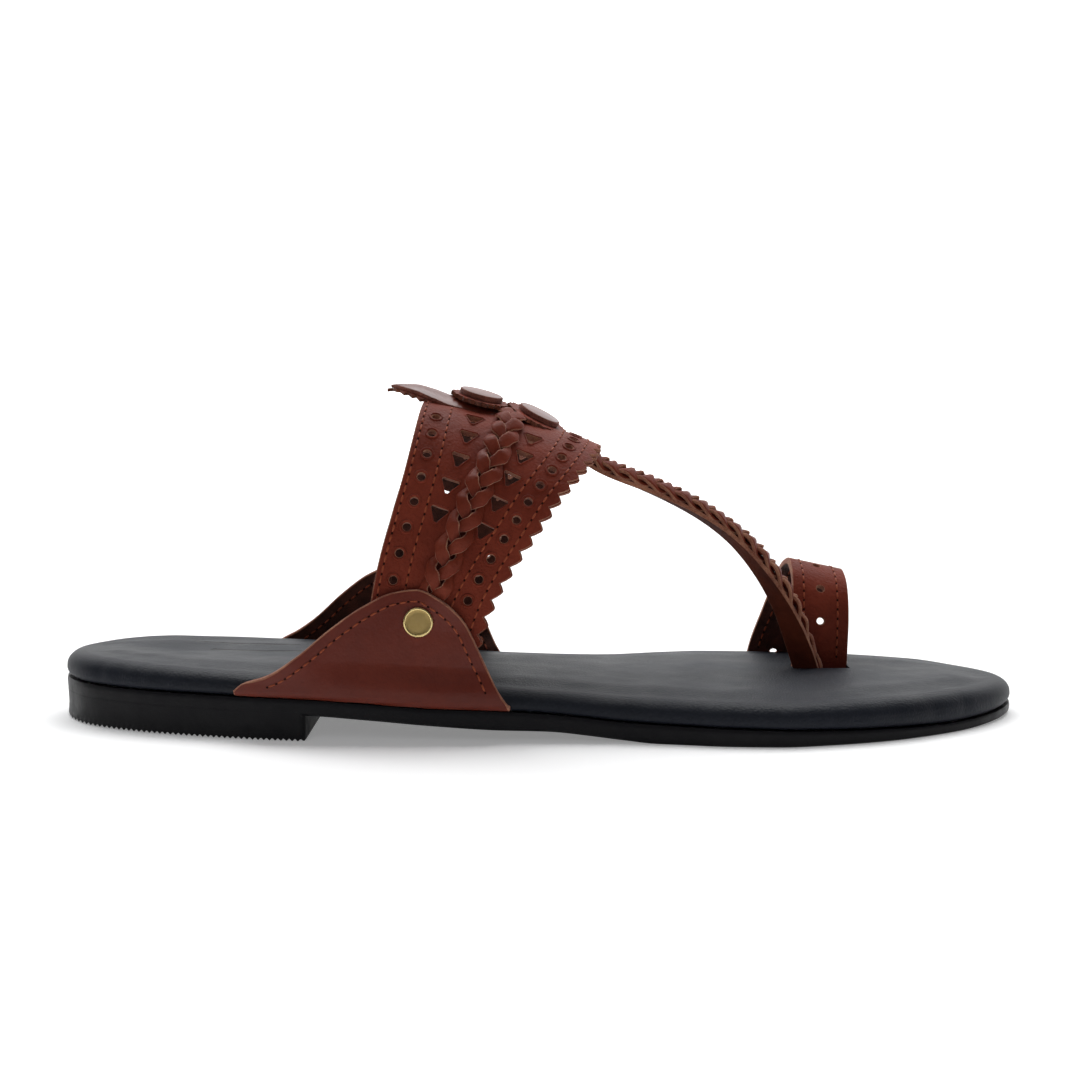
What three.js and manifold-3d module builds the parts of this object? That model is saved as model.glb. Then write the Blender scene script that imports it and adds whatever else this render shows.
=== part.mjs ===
// Kolhapuri sandal, right foot: a flat toe-loop sandal in brown leather on a black sole.
// Millimetres. +X to the toe, +Y to the big-toe side, +Z up, floor at z = 0.
import * as THREE from "three";
import Module from "manifold-3d";

const wasm = await Module();
wasm.setup();

// ---------- driving sizes ----------
const GAP = 0.3; // clearance between two pieces that meet
const HEEL_END = -125.6;
const TOE_END = 128.2;
const BREAST_X = -57; // front face of the heel
const HEEL_LIP = 7.4; // height at which the heel block joins the sole slab
const OUTLINE_STEPS = 40;
// Boxes that trim a solid reach past it by SPARE, and past the sandal's half width or insole.
const SPARE = 5;
const HALF_ROOM = 60;
const INSOLE_ROOM = 30;
// Moves the finished sandal so that the middle of its box stands over the origin.
const HOME = { x: -1.3, y: 0.3 };

const BAND_WALL = 1.8;
const FLAP_WALL = 1.5;
const LOOP_WALL = 1.8;
const THONG_WALL = 1.1;
const THONG_WIDTH = 7;
const BRAID_WIDTH = 8.6;
const BRAID_HEIGHT = 2.6;
const BRAID_PITCH = 7.6; // one strand crossing to the next
const THONG_BRAID_WIDTH = 7.4;
const THONG_BRAID_HEIGHT = 2.4;
const THONG_BRAID_ENDS = { from: 0.165, to: 0.985 }; // shares of the thong's length
const PLAIT_CLEAR = 0.08; // a plait's flat back clears a curved strap by this much more
const TOOTH_PITCH = 4.25; // pinking teeth along the front of the band
const TOOTH_DEPTH = 1.9;
const TUCK = 6; // leather hidden between insole and outsole
const TUCK_CORNER = 0.6; // chamfer where the leather turns in
const TUCK_STEPS = 10;
const FLAP_STEPS = 20;
const RIVET = {
  x: -28,
  z: 30,
  cap: 3.7,
  capHeight: 1.1,
  bevel: 0.5, // the cap's rim slopes in by this much
  stand: 0.1, // the cap clears the curved flap by this much more
  shank: 1.5,
  burr: 2.8,
  burrHeight: 0.8,
  hole: 16, // length of the hole through flap and band
  facets: 20,
};

// Plan of the sole: y of the little-toe edge and of the big-toe edge at each station.
const OUTLINE = [
  { x: HEEL_END, outer: 1.5, inner: 1.5 },
  { x: -122, outer: -10.4, inner: 13 },
  { x: -117, outer: -16.8, inner: 19.4 },
  { x: -109, outer: -22.4, inner: 25 },
  { x: -99, outer: -27.2, inner: 28.2 },
  { x: -85, outer: -31.8, inner: 28.8 },
  { x: -68, outer: -36, inner: 27.6 },
  { x: -50, outer: -38.6, inner: 25.4 },
  { x: -30, outer: -39.4, inner: 23 },
  { x: -12, outer: -38.8, inner: 22.6 },
  { x: 4, outer: -38.2, inner: 25.8 },
  { x: 20, outer: -39, inner: 32.4 },
  { x: 35, outer: -41.6, inner: 38.6 },
  { x: 48, outer: -44, inner: 41.8 },
  { x: 60, outer: -44.6, inner: 42 },
  { x: 74, outer: -42, inner: 39.6 },
  { x: 88, outer: -37.4, inner: 36.8 },
  { x: 101, outer: -30.6, inner: 33.6 },
  { x: 112, outer: -22.8, inner: 28.4 },
  { x: 120.5, outer: -14.2, inner: 21 },
  { x: 125.8, outer: -6, inner: 13 },
  { x: TOE_END, outer: 3.4, inner: 3.4 },
];

// Side view of the sole: underside of the slab, seam under the insole, thickness of the insole.
const PROFILE = [
  { x: HEEL_END, under: 6.8, seam: 11, pad: 6.4 },
  { x: -110, under: 6.8, seam: 10.95, pad: 6.3 },
  { x: -90, under: 6.8, seam: 10.9, pad: 5.7 },
  { x: -57, under: 6.5, seam: 10.6, pad: 5.2 },
  { x: -41, under: 5.5, seam: 9.7, pad: 5.4 },
  { x: -26, under: 4.2, seam: 8.6, pad: 5.6 },
  { x: -10, under: 3, seam: 7.9, pad: 5.3 },
  { x: 4, under: 2.5, seam: 7, pad: 5.1 },
  { x: 14, under: 1.5, seam: 6, pad: 5.2 },
  { x: 22, under: 0.6, seam: 5.2, pad: 5.5 },
  { x: 30, under: 0, seam: 4.9, pad: 5.6 },
  { x: 60, under: 0, seam: 4.2, pad: 5.9 },
  { x: 90, under: 0, seam: 3.2, pad: 7 },
  { x: 108, under: 0, seam: 2.6, pad: 7.3 },
  { x: 119, under: 0.3, seam: 2.8, pad: 6.7 },
  { x: TOE_END, under: 0.9, seam: 3.4, pad: 6 },
];

// Rounded edge of the padded insole: share of its thickness, and set back from the sole plan.
const INSOLE_EDGE = [
  { share: 0, inset: 1.2 },
  { share: 0.1, inset: 0.4 },
  { share: 0.3, inset: 0 },
  { share: 0.5, inset: 0.1 },
  { share: 0.7, inset: 0.7 },
  { share: 0.86, inset: 1.8 },
  { share: 0.96, inset: 3.2 },
  { share: 1, inset: 4.8 },
];

// Edge of the thin sole slab, and wall of the heel block, by share of height.
const SLAB_EDGE = [
  { share: 0, inset: 0.7 },
  { share: 0.15, inset: 0.15 },
  { share: 0.8, inset: 0 },
  { share: 1, inset: 0.2 },
];
const HEEL_EDGE = [
  { share: 0, inset: 0.35 },
  { share: 0.15, inset: 0.05 },
  { share: 0.5, inset: 0.25 },
  { share: 1, inset: 0.1 },
];

// The instep arch the band lies on: crown height, crown y, half widths at the base.
const ARCH_BASE = 12;
const ARCH_POWER = 2.4;
const ARCH = [
  { x: -75, crown: 88, mid: -4, outer: 34, inner: 30.6 },
  { x: -45, crown: 86.6, mid: -4, outer: 33.8, inner: 29.4 },
  { x: -29, crown: 84.2, mid: -3.4, outer: 34, inner: 28.6 },
  { x: -8, crown: 80, mid: -2.6, outer: 35, inner: 28.8 },
  { x: 8, crown: 75.6, mid: -1.6, outer: 36.4, inner: 31 },
  { x: 18.5, crown: 71.4, mid: -1, outer: 37.6, inner: 33.4 },
  { x: 30, crown: 66, mid: 0, outer: 39, inner: 36 },
];

// Rear and front edge of the band against how far up the arch it is (0 base, 1 crown).
const BAND_EDGES = [
  { lift: 0, rear: -42, front: -19 },
  { lift: 0.12, rear: -41.6, front: -16 },
  { lift: 0.3, rear: -40.5, front: -11.8 },
  { lift: 0.45, rear: -38.4, front: -6.6 },
  { lift: 0.6, rear: -35.5, front: -0.4 },
  { lift: 0.75, rear: -32.6, front: 5.6 },
  { lift: 0.88, rear: -30.6, front: 11.4 },
  { lift: 1, rear: -29, front: 16.2 },
];
const BAND_LOW_LIFT = 0.15;

// Triangular cut-outs: two columns, counted down from the crown on each side.
const CUTOUT = { wide: 5.1, deep: 4.4, above: 0.42, count: 5 };
const CUTOUT_COLUMNS = [
  { share: 0.315, first: 11.2, step: 7.4 },
  { share: 0.668, first: 14.4, step: 7.3 },
];
const PUNCH_LENGTH = 8; // long enough to pass through the band
const BAND_ROWS = [0, 0.22, 0.48, 0.74, 0.93]; // shares of the width where the sheet has a row

// Ear-shaped side flaps: top edge of the leather along the sole.
const FLAP_OUTER = [
  { x: -74.5, top: 12.6 },
  { x: -72, top: 14.6 },
  { x: -66, top: 16.8 },
  { x: -58.5, top: 21.6 },
  { x: -50, top: 28.6 },
  { x: -42, top: 34 },
  { x: -35, top: 37.2 },
  { x: -29, top: 38 },
  { x: -23.6, top: 36 },
  { x: -17.6, top: 30.5 },
  { x: -12.8, top: 21 },
  { x: -9.4, top: 13.6 },
  { x: -6, top: 8.6 },
];
const FLAP_INNER = [
  { x: -76, top: 12.8 },
  { x: -73, top: 15 },
  { x: -68, top: 17.6 },
  { x: -62, top: 22.2 },
  { x: -55, top: 28.6 },
  { x: -47, top: 34.4 },
  { x: -38, top: 37.8 },
  { x: -31, top: 38.4 },
  { x: -25, top: 36.4 },
  { x: -19.4, top: 30.6 },
  { x: -14.4, top: 21 },
  { x: -10.6, top: 13.6 },
  { x: -7, top: 8.8 },
];

// Toe loop from the slot beside the big toe, over it, to the inner edge of the sole.
// fall is how much lower the front edge runs, hug how closely y follows the sole edge.
const LOOP = [
  { y: 8.1, z: 6.4, rear: 70.4, front: 85.4, fall: 0, hug: 0 },
  { y: 8, z: 14, rear: 70.4, front: 85.5, fall: 0, hug: 0 },
  { y: 8.4, z: 23, rear: 70.4, front: 85.8, fall: 0.8, hug: 0 },
  { y: 10.6, z: 31.5, rear: 70.7, front: 86, fall: 2, hug: 0 },
  { y: 15.6, z: 37.4, rear: 71, front: 86.1, fall: 3, hug: 0 },
  { y: 22, z: 39.4, rear: 71, front: 86, fall: 3.2, hug: 0 },
  { y: 28.6, z: 37.6, rear: 70.2, front: 85.2, fall: 3, hug: 0 },
  { y: 34.4, z: 31.6, rear: 68.6, front: 83.6, fall: 2, hug: 0.2 },
  { y: 38.6, z: 22, rear: 65.8, front: 80.8, fall: 1, hug: 0.6 },
  { y: 41.8, z: 12.4, rear: 63, front: 78, fall: 0.2, hug: 1 },
  { y: 43, z: 8.4, rear: 62.2, front: 77.2, fall: 0, hug: 1 },
];
const LOOP_HUG_Y = 40.9; // sole edge the last rows are drawn against

// Centre line of the thong strap, and how far it has turned on its side.
const THONG = [
  { x: -3, y: -1.6, z: 77.9, turn: 0 },
  { x: 6, y: -1.2, z: 73, turn: 0 },
  { x: 18, y: -0.4, z: 65.2, turn: 2 },
  { x: 31, y: 0.8, z: 60, turn: 5 },
  { x: 44.6, y: 2, z: 53.2, turn: 11 },
  { x: 54, y: 3, z: 46.2, turn: 16 },
  { x: 62.2, y: 3.8, z: 36.6, turn: 25 },
  { x: 67.6, y: 4.2, z: 27.6, turn: 38 },
  { x: 71.4, y: 4.6, z: 18.4, turn: 56 },
  { x: 74, y: 4.9, z: 10.4, turn: 64 },
  { x: 74.8, y: 5, z: 6.4, turn: 66 },
];
const SLOT = { x0: 69.8, x1: 86, y0: 2.2, y1: 10.3, floor: 5.2 };
const ROOT = { low: 5.6, high: 6.6 }; // stitched root of the straps inside the slot

// Ornament stack on the crown: two round medallions and a leaf pointing back over the heel.
const MEDALLIONS = [
  { name: "rear", x: -14.6, y: -2.8, lift: 2.25, tilt: 15, radius: 5.8, pinked: 7.7 },
  { name: "front", x: 1.4, y: -2, lift: 0.95, tilt: 22, radius: 5.8, pinked: 7.9 },
];
const DISC = { cap: 1.2, pinked: 1, teeth: 22, bite: 0.7, facets: 32 };
const LEAF_WALL = 0.8;
const LEAF_Y = -2.8;
// Leaf tongue seen from the side: its upper face, and half its width.
const LEAF = [
  { x: -37.8, z: 87.9, half: 0.7 },
  { x: -35.4, z: 88.2, half: 3.4 },
  { x: -31.6, z: 88.1, half: 5.6 },
  { x: -26.6, z: 86.9, half: 6.9 },
  { x: -22, z: 85.2, half: 7.2 },
  { x: -17, z: 84, half: 7.2 },
  { x: -12.2, z: 82.95, half: 7 },
];
const LEAF_TEETH = 12;
const LEAF_STEPS = 14;
const LEAF_BITE = 0.8;
const LEAF_OVERHANG = 0.9; // the pinked leaf shows this much past the smooth one

// ---------- materials ----------
const unpolished = (name, colour, roughness) =>
  new THREE.MeshStandardMaterial({ name, color: colour, roughness, metalness: 0 });
const BROWN_LEATHER = unpolished("brown_leather", 0x6b3028, 0.46);
const PLAITED_LEATHER = unpolished("plaited_leather", 0x7a3a2c, 0.5);
const INSOLE_LEATHER = unpolished("black_insole_leather", 0x2c2d31, 0.55);
const SOLE_RUBBER = unpolished("black_rubber", 0x1b1b1e, 0.6);
const BRASS = new THREE.MeshStandardMaterial({
  name: "brass",
  color: 0xb9a262,
  roughness: 0.32,
  metalness: 1,
});

// ---------- small tools ----------
const lerp = (a, b, t) => a + (b - a) * t;
const clamp = (v, lo, hi) => Math.min(hi, Math.max(lo, v));
const radians = (degrees) => (degrees * Math.PI) / 180;

function soften(lo, hi, v) {
  const t = clamp((v - lo) / (hi - lo), 0, 1);
  return t * t * (3 - 2 * t);
}

// Smooth value of one column of a table at a key, level wherever the rows are level.
function read(rows, keyName, column, key) {
  const last = rows.length - 1;
  const at = (i) => rows[i][keyName];
  const slope = (i) => (rows[i + 1][column] - rows[i][column]) / (at(i + 1) - at(i));
  const k = clamp(key, at(0), at(last));
  let i = 0;
  while (i < last - 1 && k > at(i + 1)) i += 1;
  const tangent = (n) => {
    if (n === 0) return slope(0);
    if (n === last) return slope(last - 1);
    const [before, after] = [slope(n - 1), slope(n)];
    return before * after <= 0 ? 0 : (2 * before * after) / (before + after);
  };
  const span = at(i + 1) - at(i);
  const t = (k - at(i)) / span;
  const [m0, m1] = [tangent(i) * span, tangent(i + 1) * span];
  const [p0, p1] = [rows[i][column], rows[i + 1][column]];
  const [t2, t3] = [t * t, t * t * t];
  return (2 * t3 - 3 * t2 + 1) * p0 + (t3 - 2 * t2 + t) * m0 + (3 * t2 - 2 * t3) * p1 + (t3 - t2) * m1;
}

function geometryFrom(positions, indices) {
  const geometry = new THREE.BufferGeometry();
  geometry.setAttribute("position", new THREE.Float32BufferAttribute(positions, 3));
  geometry.setIndex(indices);
  return geometry;
}

// Welds a three.js geometry into a closed manifold body.
function solid(geometry) {
  const flat = geometry.index ? geometry.toNonIndexed() : geometry;
  const source = flat.getAttribute("position");
  const seen = new Map();
  const verts = [];
  const corners = [];
  for (let i = 0; i < source.count; i += 1) {
    const p = [source.getX(i), source.getY(i), source.getZ(i)];
    const key = p.map((v) => Math.round(v * 1e4)).join(",");
    if (!seen.has(key)) {
      seen.set(key, verts.length / 3);
      verts.push(...p);
    }
    corners.push(seen.get(key));
  }
  const tris = [];
  for (let i = 0; i < corners.length; i += 3) {
    const [a, b, c] = corners.slice(i, i + 3);
    if (a !== b && b !== c && c !== a) tris.push(a, b, c);
  }
  const mesh = new wasm.Mesh({
    numProp: 3,
    vertProperties: new Float32Array(verts),
    triVerts: new Uint32Array(tris),
  });
  const body = new wasm.Manifold(mesh);
  return body.volume() < 0 ? solid(flipped(geometry)) : body;
}

// The same surface with every triangle turned round.
function flipped(geometry) {
  const copy = geometry.clone();
  const count = copy.index ? copy.index.count : copy.getAttribute("position").count;
  const order = [];
  for (let i = 0; i < count; i += 3) order.push(i, i + 2, i + 1);
  copy.setIndex(copy.index ? order.map((n) => copy.index.getX(n)) : order);
  return copy;
}

function addPiece(group, name, body, material) {
  const mesh = body.getMesh();
  const geometry = geometryFrom(Array.from(mesh.vertProperties), Array.from(mesh.triVerts));
  geometry.translate(HOME.x, HOME.y, 0);
  const piece = new THREE.Mesh(geometry, material);
  piece.name = name;
  group.add(piece);
}

// Closed skin over rings of equal length, each ring a list of Vector3, with flat ends.
function lofted(rings) {
  const n = rings[0].length;
  const positions = [];
  for (const ring of rings) for (const p of ring) positions.push(p.x, p.y, p.z);
  const indices = [];
  for (let r = 0; r + 1 < rings.length; r += 1) {
    for (let i = 0; i < n; i += 1) {
      const j = (i + 1) % n;
      const [a, b, c, d] = [r * n + i, r * n + j, (r + 1) * n + j, (r + 1) * n + i];
      indices.push(a, b, c, a, c, d);
    }
  }
  const top = (rings.length - 1) * n;
  for (const [a, b, c] of capOf(rings[0])) indices.push(a, c, b);
  for (const [a, b, c] of capOf(rings[rings.length - 1])) indices.push(top + a, top + b, top + c);
  return geometryFrom(positions, indices);
}

// Triangles that fill a flat ring of points, wound as the ring is.
function capOf(ring) {
  const normal = new THREE.Vector3();
  ring.forEach((p, i) => normal.add(p.clone().cross(ring[(i + 1) % ring.length])));
  const right = ring[1].clone().sub(ring[0]).normalize();
  const up = normal.normalize().cross(right);
  const flat = ring.map((p) => new THREE.Vector2(p.dot(right), p.dot(up)));
  return THREE.ShapeUtils.triangulateShape(flat, []);
}

// A leather sheet of even wall: surface(u, v) is its outer face, rows of v for each u.
function thickSheet(surface, uValues, vValuesAt, wall, side, facing = surface) {
  const skins = [[], []];
  for (const u of uValues) {
    for (const v of vValuesAt(u)) {
      const p = surface(u, v);
      const n = normalAt(facing, u, v).multiplyScalar(side);
      skins[0].push(p);
      skins[1].push(p.clone().addScaledVector(n, -wall));
    }
  }
  const cols = vValuesAt(uValues[0]).length;
  const rows = uValues.length;
  const positions = [...skins[0], ...skins[1]].flatMap((p) => [p.x, p.y, p.z]);
  const half = skins[0].length;
  const indices = [];
  const quad = (a, b, c, d) => indices.push(a, b, c, a, c, d);
  for (let i = 0; i + 1 < rows; i += 1) {
    for (let j = 0; j + 1 < cols; j += 1) {
      const [a, b, c, d] = [i * cols + j, i * cols + j + 1, (i + 1) * cols + j + 1, (i + 1) * cols + j];
      quad(a, b, c, d);
      quad(half + d, half + c, half + b, half + a);
    }
  }
  const rim = [];
  for (let j = 0; j < cols - 1; j += 1) rim.push(j);
  for (let i = 0; i < rows - 1; i += 1) rim.push(i * cols + cols - 1);
  for (let j = cols - 1; j > 0; j -= 1) rim.push((rows - 1) * cols + j);
  for (let i = rows - 1; i > 0; i -= 1) rim.push(i * cols);
  rim.forEach((a, k) => {
    const b = rim[(k + 1) % rim.length];
    quad(b, a, half + a, half + b);
  });
  return geometryFrom(positions, indices);
}

function normalAt(surface, u, v) {
  const step = 0.002;
  const du = surface(u + step, v).sub(surface(u - step, v));
  const dv = surface(u, v + step).sub(surface(u, v - step));
  return du.cross(dv).normalize();
}

const span = (rows) => [rows[0].x, rows[rows.length - 1].x];
const steps = (count) => Array.from({ length: count + 1 }, (_, i) => i / count);

function boxBody(x0, x1, y0, y1, z0, z1) {
  const box = new THREE.BoxGeometry(x1 - x0, y1 - y0, z1 - z0);
  return solid(box.translate((x0 + x1) / 2, (y0 + y1) / 2, (z0 + z1) / 2));
}

// ---------- sole ----------
const turnOf = (x) => Math.acos(1 - (2 * (x - HEEL_END)) / (TOE_END - HEEL_END)) / Math.PI;
const OUTLINE_BY_TURN = OUTLINE.map((row) => ({ ...row, turn: turnOf(row.x) }));
const edgeY = (x, column) => read(OUTLINE_BY_TURN, "turn", column, turnOf(clamp(x, HEEL_END, TOE_END)));
const soleZ = (x, column) => read(PROFILE, "x", column, x);
const insoleTop = (x) => soleZ(x, "seam") + GAP / 2 + soleZ(x, "pad");

// Sole plan as one closed loop: out along the little-toe side, back along the big-toe side.
function planLoop() {
  const stations = steps(OUTLINE_STEPS).map((t) => ({
    x: lerp(HEEL_END, TOE_END, (1 - Math.cos(Math.PI * t)) / 2),
    turn: t,
  }));
  const out = stations.map((s) => new THREE.Vector2(s.x, read(OUTLINE_BY_TURN, "turn", "outer", s.turn)));
  const back = stations.slice(1, -1).reverse();
  const home = back.map((s) => new THREE.Vector2(s.x, read(OUTLINE_BY_TURN, "turn", "inner", s.turn)));
  return [...out, ...home];
}

function insetLoop(loop, inset) {
  return loop.map((p, i) => {
    const before = loop[(i + loop.length - 1) % loop.length];
    const after = loop[(i + 1) % loop.length];
    const along = after.clone().sub(before).normalize();
    return new THREE.Vector2(p.x - along.y * inset, p.y + along.x * inset);
  });
}

// A layer of the sole: plan loop swept up between two heights with a shaped edge.
function soleLayer(edgeRows, lowAt, highAt) {
  const loop = planLoop();
  const rings = edgeRows.map((row) =>
    insetLoop(loop, row.inset).map(
      (p, i) => new THREE.Vector3(p.x, p.y, lerp(lowAt(loop[i].x), highAt(loop[i].x), row.share)),
    ),
  );
  const n = loop.length;
  const positions = rings.flat().flatMap((p) => [p.x, p.y, p.z]);
  const indices = [];
  for (let r = 0; r + 1 < rings.length; r += 1) {
    for (let i = 0; i < n; i += 1) {
      const j = (i + 1) % n;
      indices.push(r * n + i, r * n + j, (r + 1) * n + j, r * n + i, (r + 1) * n + j, (r + 1) * n + i);
    }
  }
  const partner = (i) => (n - i) % n;
  const top = (rings.length - 1) * n;
  for (let i = 0; i < OUTLINE_STEPS; i += 1) {
    const [a, b, c, d] = [i, i + 1, partner(i + 1), partner(i)];
    indices.push(a, c, b, a, d, c);
    indices.push(top + a, top + b, top + c, top + a, top + c, top + d);
  }
  return solid(geometryFrom(positions, indices));
}

function outsoleBody() {
  const slab = soleLayer(SLAB_EDGE, (x) => soleZ(x, "under"), (x) => soleZ(x, "seam") - GAP / 2);
  const block = soleLayer(HEEL_EDGE, () => 0, () => HEEL_LIP);
  const behindBreast = boxBody(HEEL_END - SPARE, BREAST_X, -HALF_ROOM, HALF_ROOM, -SPARE, INSOLE_ROOM);
  return slab.add(block.intersect(behindBreast));
}

function insoleBody() {
  const seat = (x) => soleZ(x, "seam") + GAP / 2;
  return soleLayer(INSOLE_EDGE, seat, insoleTop);
}

// ---------- upper: band, thong and toe loop ----------
// Point of the instep arch at station x, turned from the outer base (0) to the inner base (pi).
function archPoint(x, turn) {
  const power = 2 / ARCH_POWER;
  const [cos, sin] = [Math.cos(turn), Math.max(0, Math.sin(turn))];
  const half = cos > 0 ? read(ARCH, "x", "outer", x) : read(ARCH, "x", "inner", x);
  const rise = read(ARCH, "x", "crown", x) - ARCH_BASE;
  const y = read(ARCH, "x", "mid", x) - Math.sign(cos) * half * Math.abs(cos) ** power;
  return new THREE.Vector3(x, y, ARCH_BASE + rise * sin ** power);
}

// Outer face of the arch at a height, on the outer (-1) or inner (+1) side.
function archY(x, z, side) {
  const rise = read(ARCH, "x", "crown", x) - ARCH_BASE;
  const lift = clamp((z - ARCH_BASE) / rise, 0, 1);
  const half = read(ARCH, "x", side < 0 ? "outer" : "inner", x);
  return read(ARCH, "x", "mid", x) + side * half * (1 - lift ** ARCH_POWER) ** (1 / ARCH_POWER);
}

const BAND_LOW_TURN = Math.asin(BAND_LOW_LIFT ** (ARCH_POWER / 2));
const ARC_SAMPLES = 600;

// Even steps along the band: share of its length to turn around the arch.
const BAND_ARC = (() => {
  const rows = [];
  let run = 0;
  let last = null;
  for (const t of steps(ARC_SAMPLES)) {
    const turn = lerp(BAND_LOW_TURN, Math.PI - BAND_LOW_TURN, t);
    const p = archPoint(-8, turn);
    if (last) run += p.distanceTo(last);
    last = p;
    rows.push({ turn, run });
  }
  return rows;
})();
const BAND_LENGTH = BAND_ARC[ARC_SAMPLES].run;

function bandTurn(share) {
  const run = share * BAND_LENGTH;
  let i = 0;
  while (i < ARC_SAMPLES - 1 && BAND_ARC[i + 1].run < run) i += 1;
  const [a, b] = [BAND_ARC[i], BAND_ARC[i + 1]];
  return lerp(a.turn, b.turn, (run - a.run) / (b.run - a.run));
}

function bandSurface(u, v) {
  const turn = bandTurn(u);
  const lift = Math.max(0, Math.sin(turn)) ** (2 / ARCH_POWER);
  const x = lerp(read(BAND_EDGES, "lift", "rear", lift), read(BAND_EDGES, "lift", "front", lift), v);
  return archPoint(x, turn);
}

const bandWidthAt = (u) => bandSurface(u, 0).distanceTo(bandSurface(u, 1));

function bandBody() {
  const teeth = Math.round(BAND_LENGTH / TOOTH_PITCH);
  const columns = Array.from({ length: 2 * teeth + 1 }, (_, i) => i);
  const tooth = (u) => (Math.round(u * 2 * teeth) % 2 ? TOOTH_DEPTH / bandWidthAt(u) : 0);
  const vAt = (u) => [...BAND_ROWS, 1 + tooth(u)];
  const sheet = thickSheet(bandSurface, columns.map((i) => i / (2 * teeth)), vAt, BAND_WALL, -1);
  return cutOuts().reduce((body, hole) => body.subtract(hole), solid(sheet));
}

// Triangular holes, point down, marching down both sides of the plait.
function cutOuts() {
  const { wide, deep, above, count } = CUTOUT;
  const triangle = new THREE.Shape();
  triangle.moveTo(-wide / 2, deep * above);
  triangle.lineTo(wide / 2, deep * above);
  triangle.lineTo(0, deep * (above - 1));
  const prism = new THREE.ExtrudeGeometry(triangle, { depth: PUNCH_LENGTH, bevelEnabled: false });
  prism.translate(0, 0, -PUNCH_LENGTH / 2);
  const holes = [];
  for (const side of [-1, 1]) {
    for (const { share, first, step } of CUTOUT_COLUMNS) {
      for (let k = 0; k < count; k += 1) {
        const u = 0.5 + (side * (first + k * step)) / BAND_LENGTH;
        holes.push(solid(prism.clone().applyMatrix4(seatOn(bandSurface, u, share, -side))));
      }
    }
  }
  return holes;
}

// Frame standing on a surface: x towards the toe, y up the strap, z out of it.
function seatOn(surface, u, v, upSign) {
  const step = 0.002;
  const up = surface(u + step, v).sub(surface(u - step, v)).multiplyScalar(upSign).normalize();
  const out = normalAt(surface, u, v).negate();
  const toe = up.clone().cross(out).normalize();
  return new THREE.Matrix4().makeBasis(toe, up, out).setPosition(surface(u, v));
}

const THONG_RUN = (() => {
  let run = 0;
  return THONG.map((row, i) => {
    if (i) run += Math.hypot(row.x - THONG[i - 1].x, row.y - THONG[i - 1].y, row.z - THONG[i - 1].z);
    return { ...row, run };
  });
})();
const THONG_LENGTH = THONG_RUN[THONG_RUN.length - 1].run;

// Frame of the thong at a share of its length: point, along, across and the plait's side.
function thongFrame(share) {
  const point = (s) =>
    new THREE.Vector3(...["x", "y", "z"].map((c) => read(THONG_RUN, "run", c, s * THONG_LENGTH)));
  const along = point(Math.min(1, share + 0.01)).sub(point(Math.max(0, share - 0.01))).normalize();
  const level = new THREE.Vector3(0, 1, 0).cross(along).normalize();
  const upright = level.z < 0 ? level.negate() : level;
  const turn = radians(read(THONG_RUN, "run", "turn", share * THONG_LENGTH));
  const out = upright.clone().applyAxisAngle(along, -turn);
  const across = out.clone().cross(along).normalize();
  return { at: point(share), along, across, out };
}

function stripRing(frame, halfWidth, low, high) {
  const corner = (w, h) => frame.at.clone().addScaledVector(frame.across, w).addScaledVector(frame.out, h);
  return [corner(-halfWidth, low), corner(halfWidth, low), corner(halfWidth, high), corner(-halfWidth, high)];
}

function thongBody() {
  const rings = steps(26).map((s) => stripRing(thongFrame(s), THONG_WIDTH / 2, -THONG_WALL, 0));
  return solid(lofted(rings));
}

const LOOP_RUN = (() => {
  let run = 0;
  return LOOP.map((row, i) => {
    if (i) run += Math.hypot(row.y - LOOP[i - 1].y, row.z - LOOP[i - 1].z);
    return { ...row, run };
  });
})();
const LOOP_LENGTH = LOOP_RUN[LOOP_RUN.length - 1].run;

function loopSurface(u, v) {
  const get = (column) => read(LOOP_RUN, "run", column, u * LOOP_LENGTH);
  const x = lerp(get("rear"), get("front"), v);
  const shift = get("hug") * (edgeY(x, "inner") - LOOP_HUG_Y);
  return new THREE.Vector3(x, get("y") + shift, get("z") - v * get("fall"));
}

function loopBody() {
  return solid(thickSheet(loopSurface, steps(22), () => steps(3), LOOP_WALL, -1));
}

// End of the loop turned under the insole at the big-toe edge.
function loopFoot() {
  const end = LOOP[LOOP.length - 1];
  return edgeTuck(end.rear, end.front, 1, () => end.z + 0.2, LOOP_WALL);
}

// Leather turned in under the insole: runs down outside its edge and in along the seam.
function edgeTuck(x0, x1, side, topAt, wall) {
  return alongEdge(x0, x1, side, (edge, low, x) => {
    const [inward, face, out] = [edge - side * TUCK, edge + side * GAP, edge + side * (GAP + wall)];
    const topZ = Math.max(low + wall + 0.4, topAt(x));
    return [
      [inward, low],
      [out - side * TUCK_CORNER, low],
      [out, low + TUCK_CORNER],
      [out, topZ],
      [face, topZ],
      [face, low + wall],
      [inward, low + wall],
    ];
  });
}

// Room left for a tuck in the underside of the insole.
function tuckPocket(x0, x1, side, wall) {
  return alongEdge(x0 - GAP, x1 + GAP, side, (edge, low) => {
    const [inward, out] = [edge - side * (TUCK + GAP), edge + side * 4];
    return [
      [inward, low - 2],
      [out, low - 2],
      [out, low + wall + GAP],
      [inward, low + wall + GAP],
    ];
  });
}

// Body whose y-z section, drawn from the sole edge and the seam, is carried along the edge.
function alongEdge(x0, x1, side, sectionAt, count = TUCK_STEPS) {
  const slices = steps(count).map((t) => lerp(x0, x1, t));
  const rings = slices.map((x) => {
    const edge = edgeY(x, side < 0 ? "outer" : "inner");
    const section = sectionAt(edge, soleZ(x, "seam") + GAP / 2, x);
    return section.map(([y, z]) => new THREE.Vector3(x, y, z));
  });
  return solid(lofted(rings));
}

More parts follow.
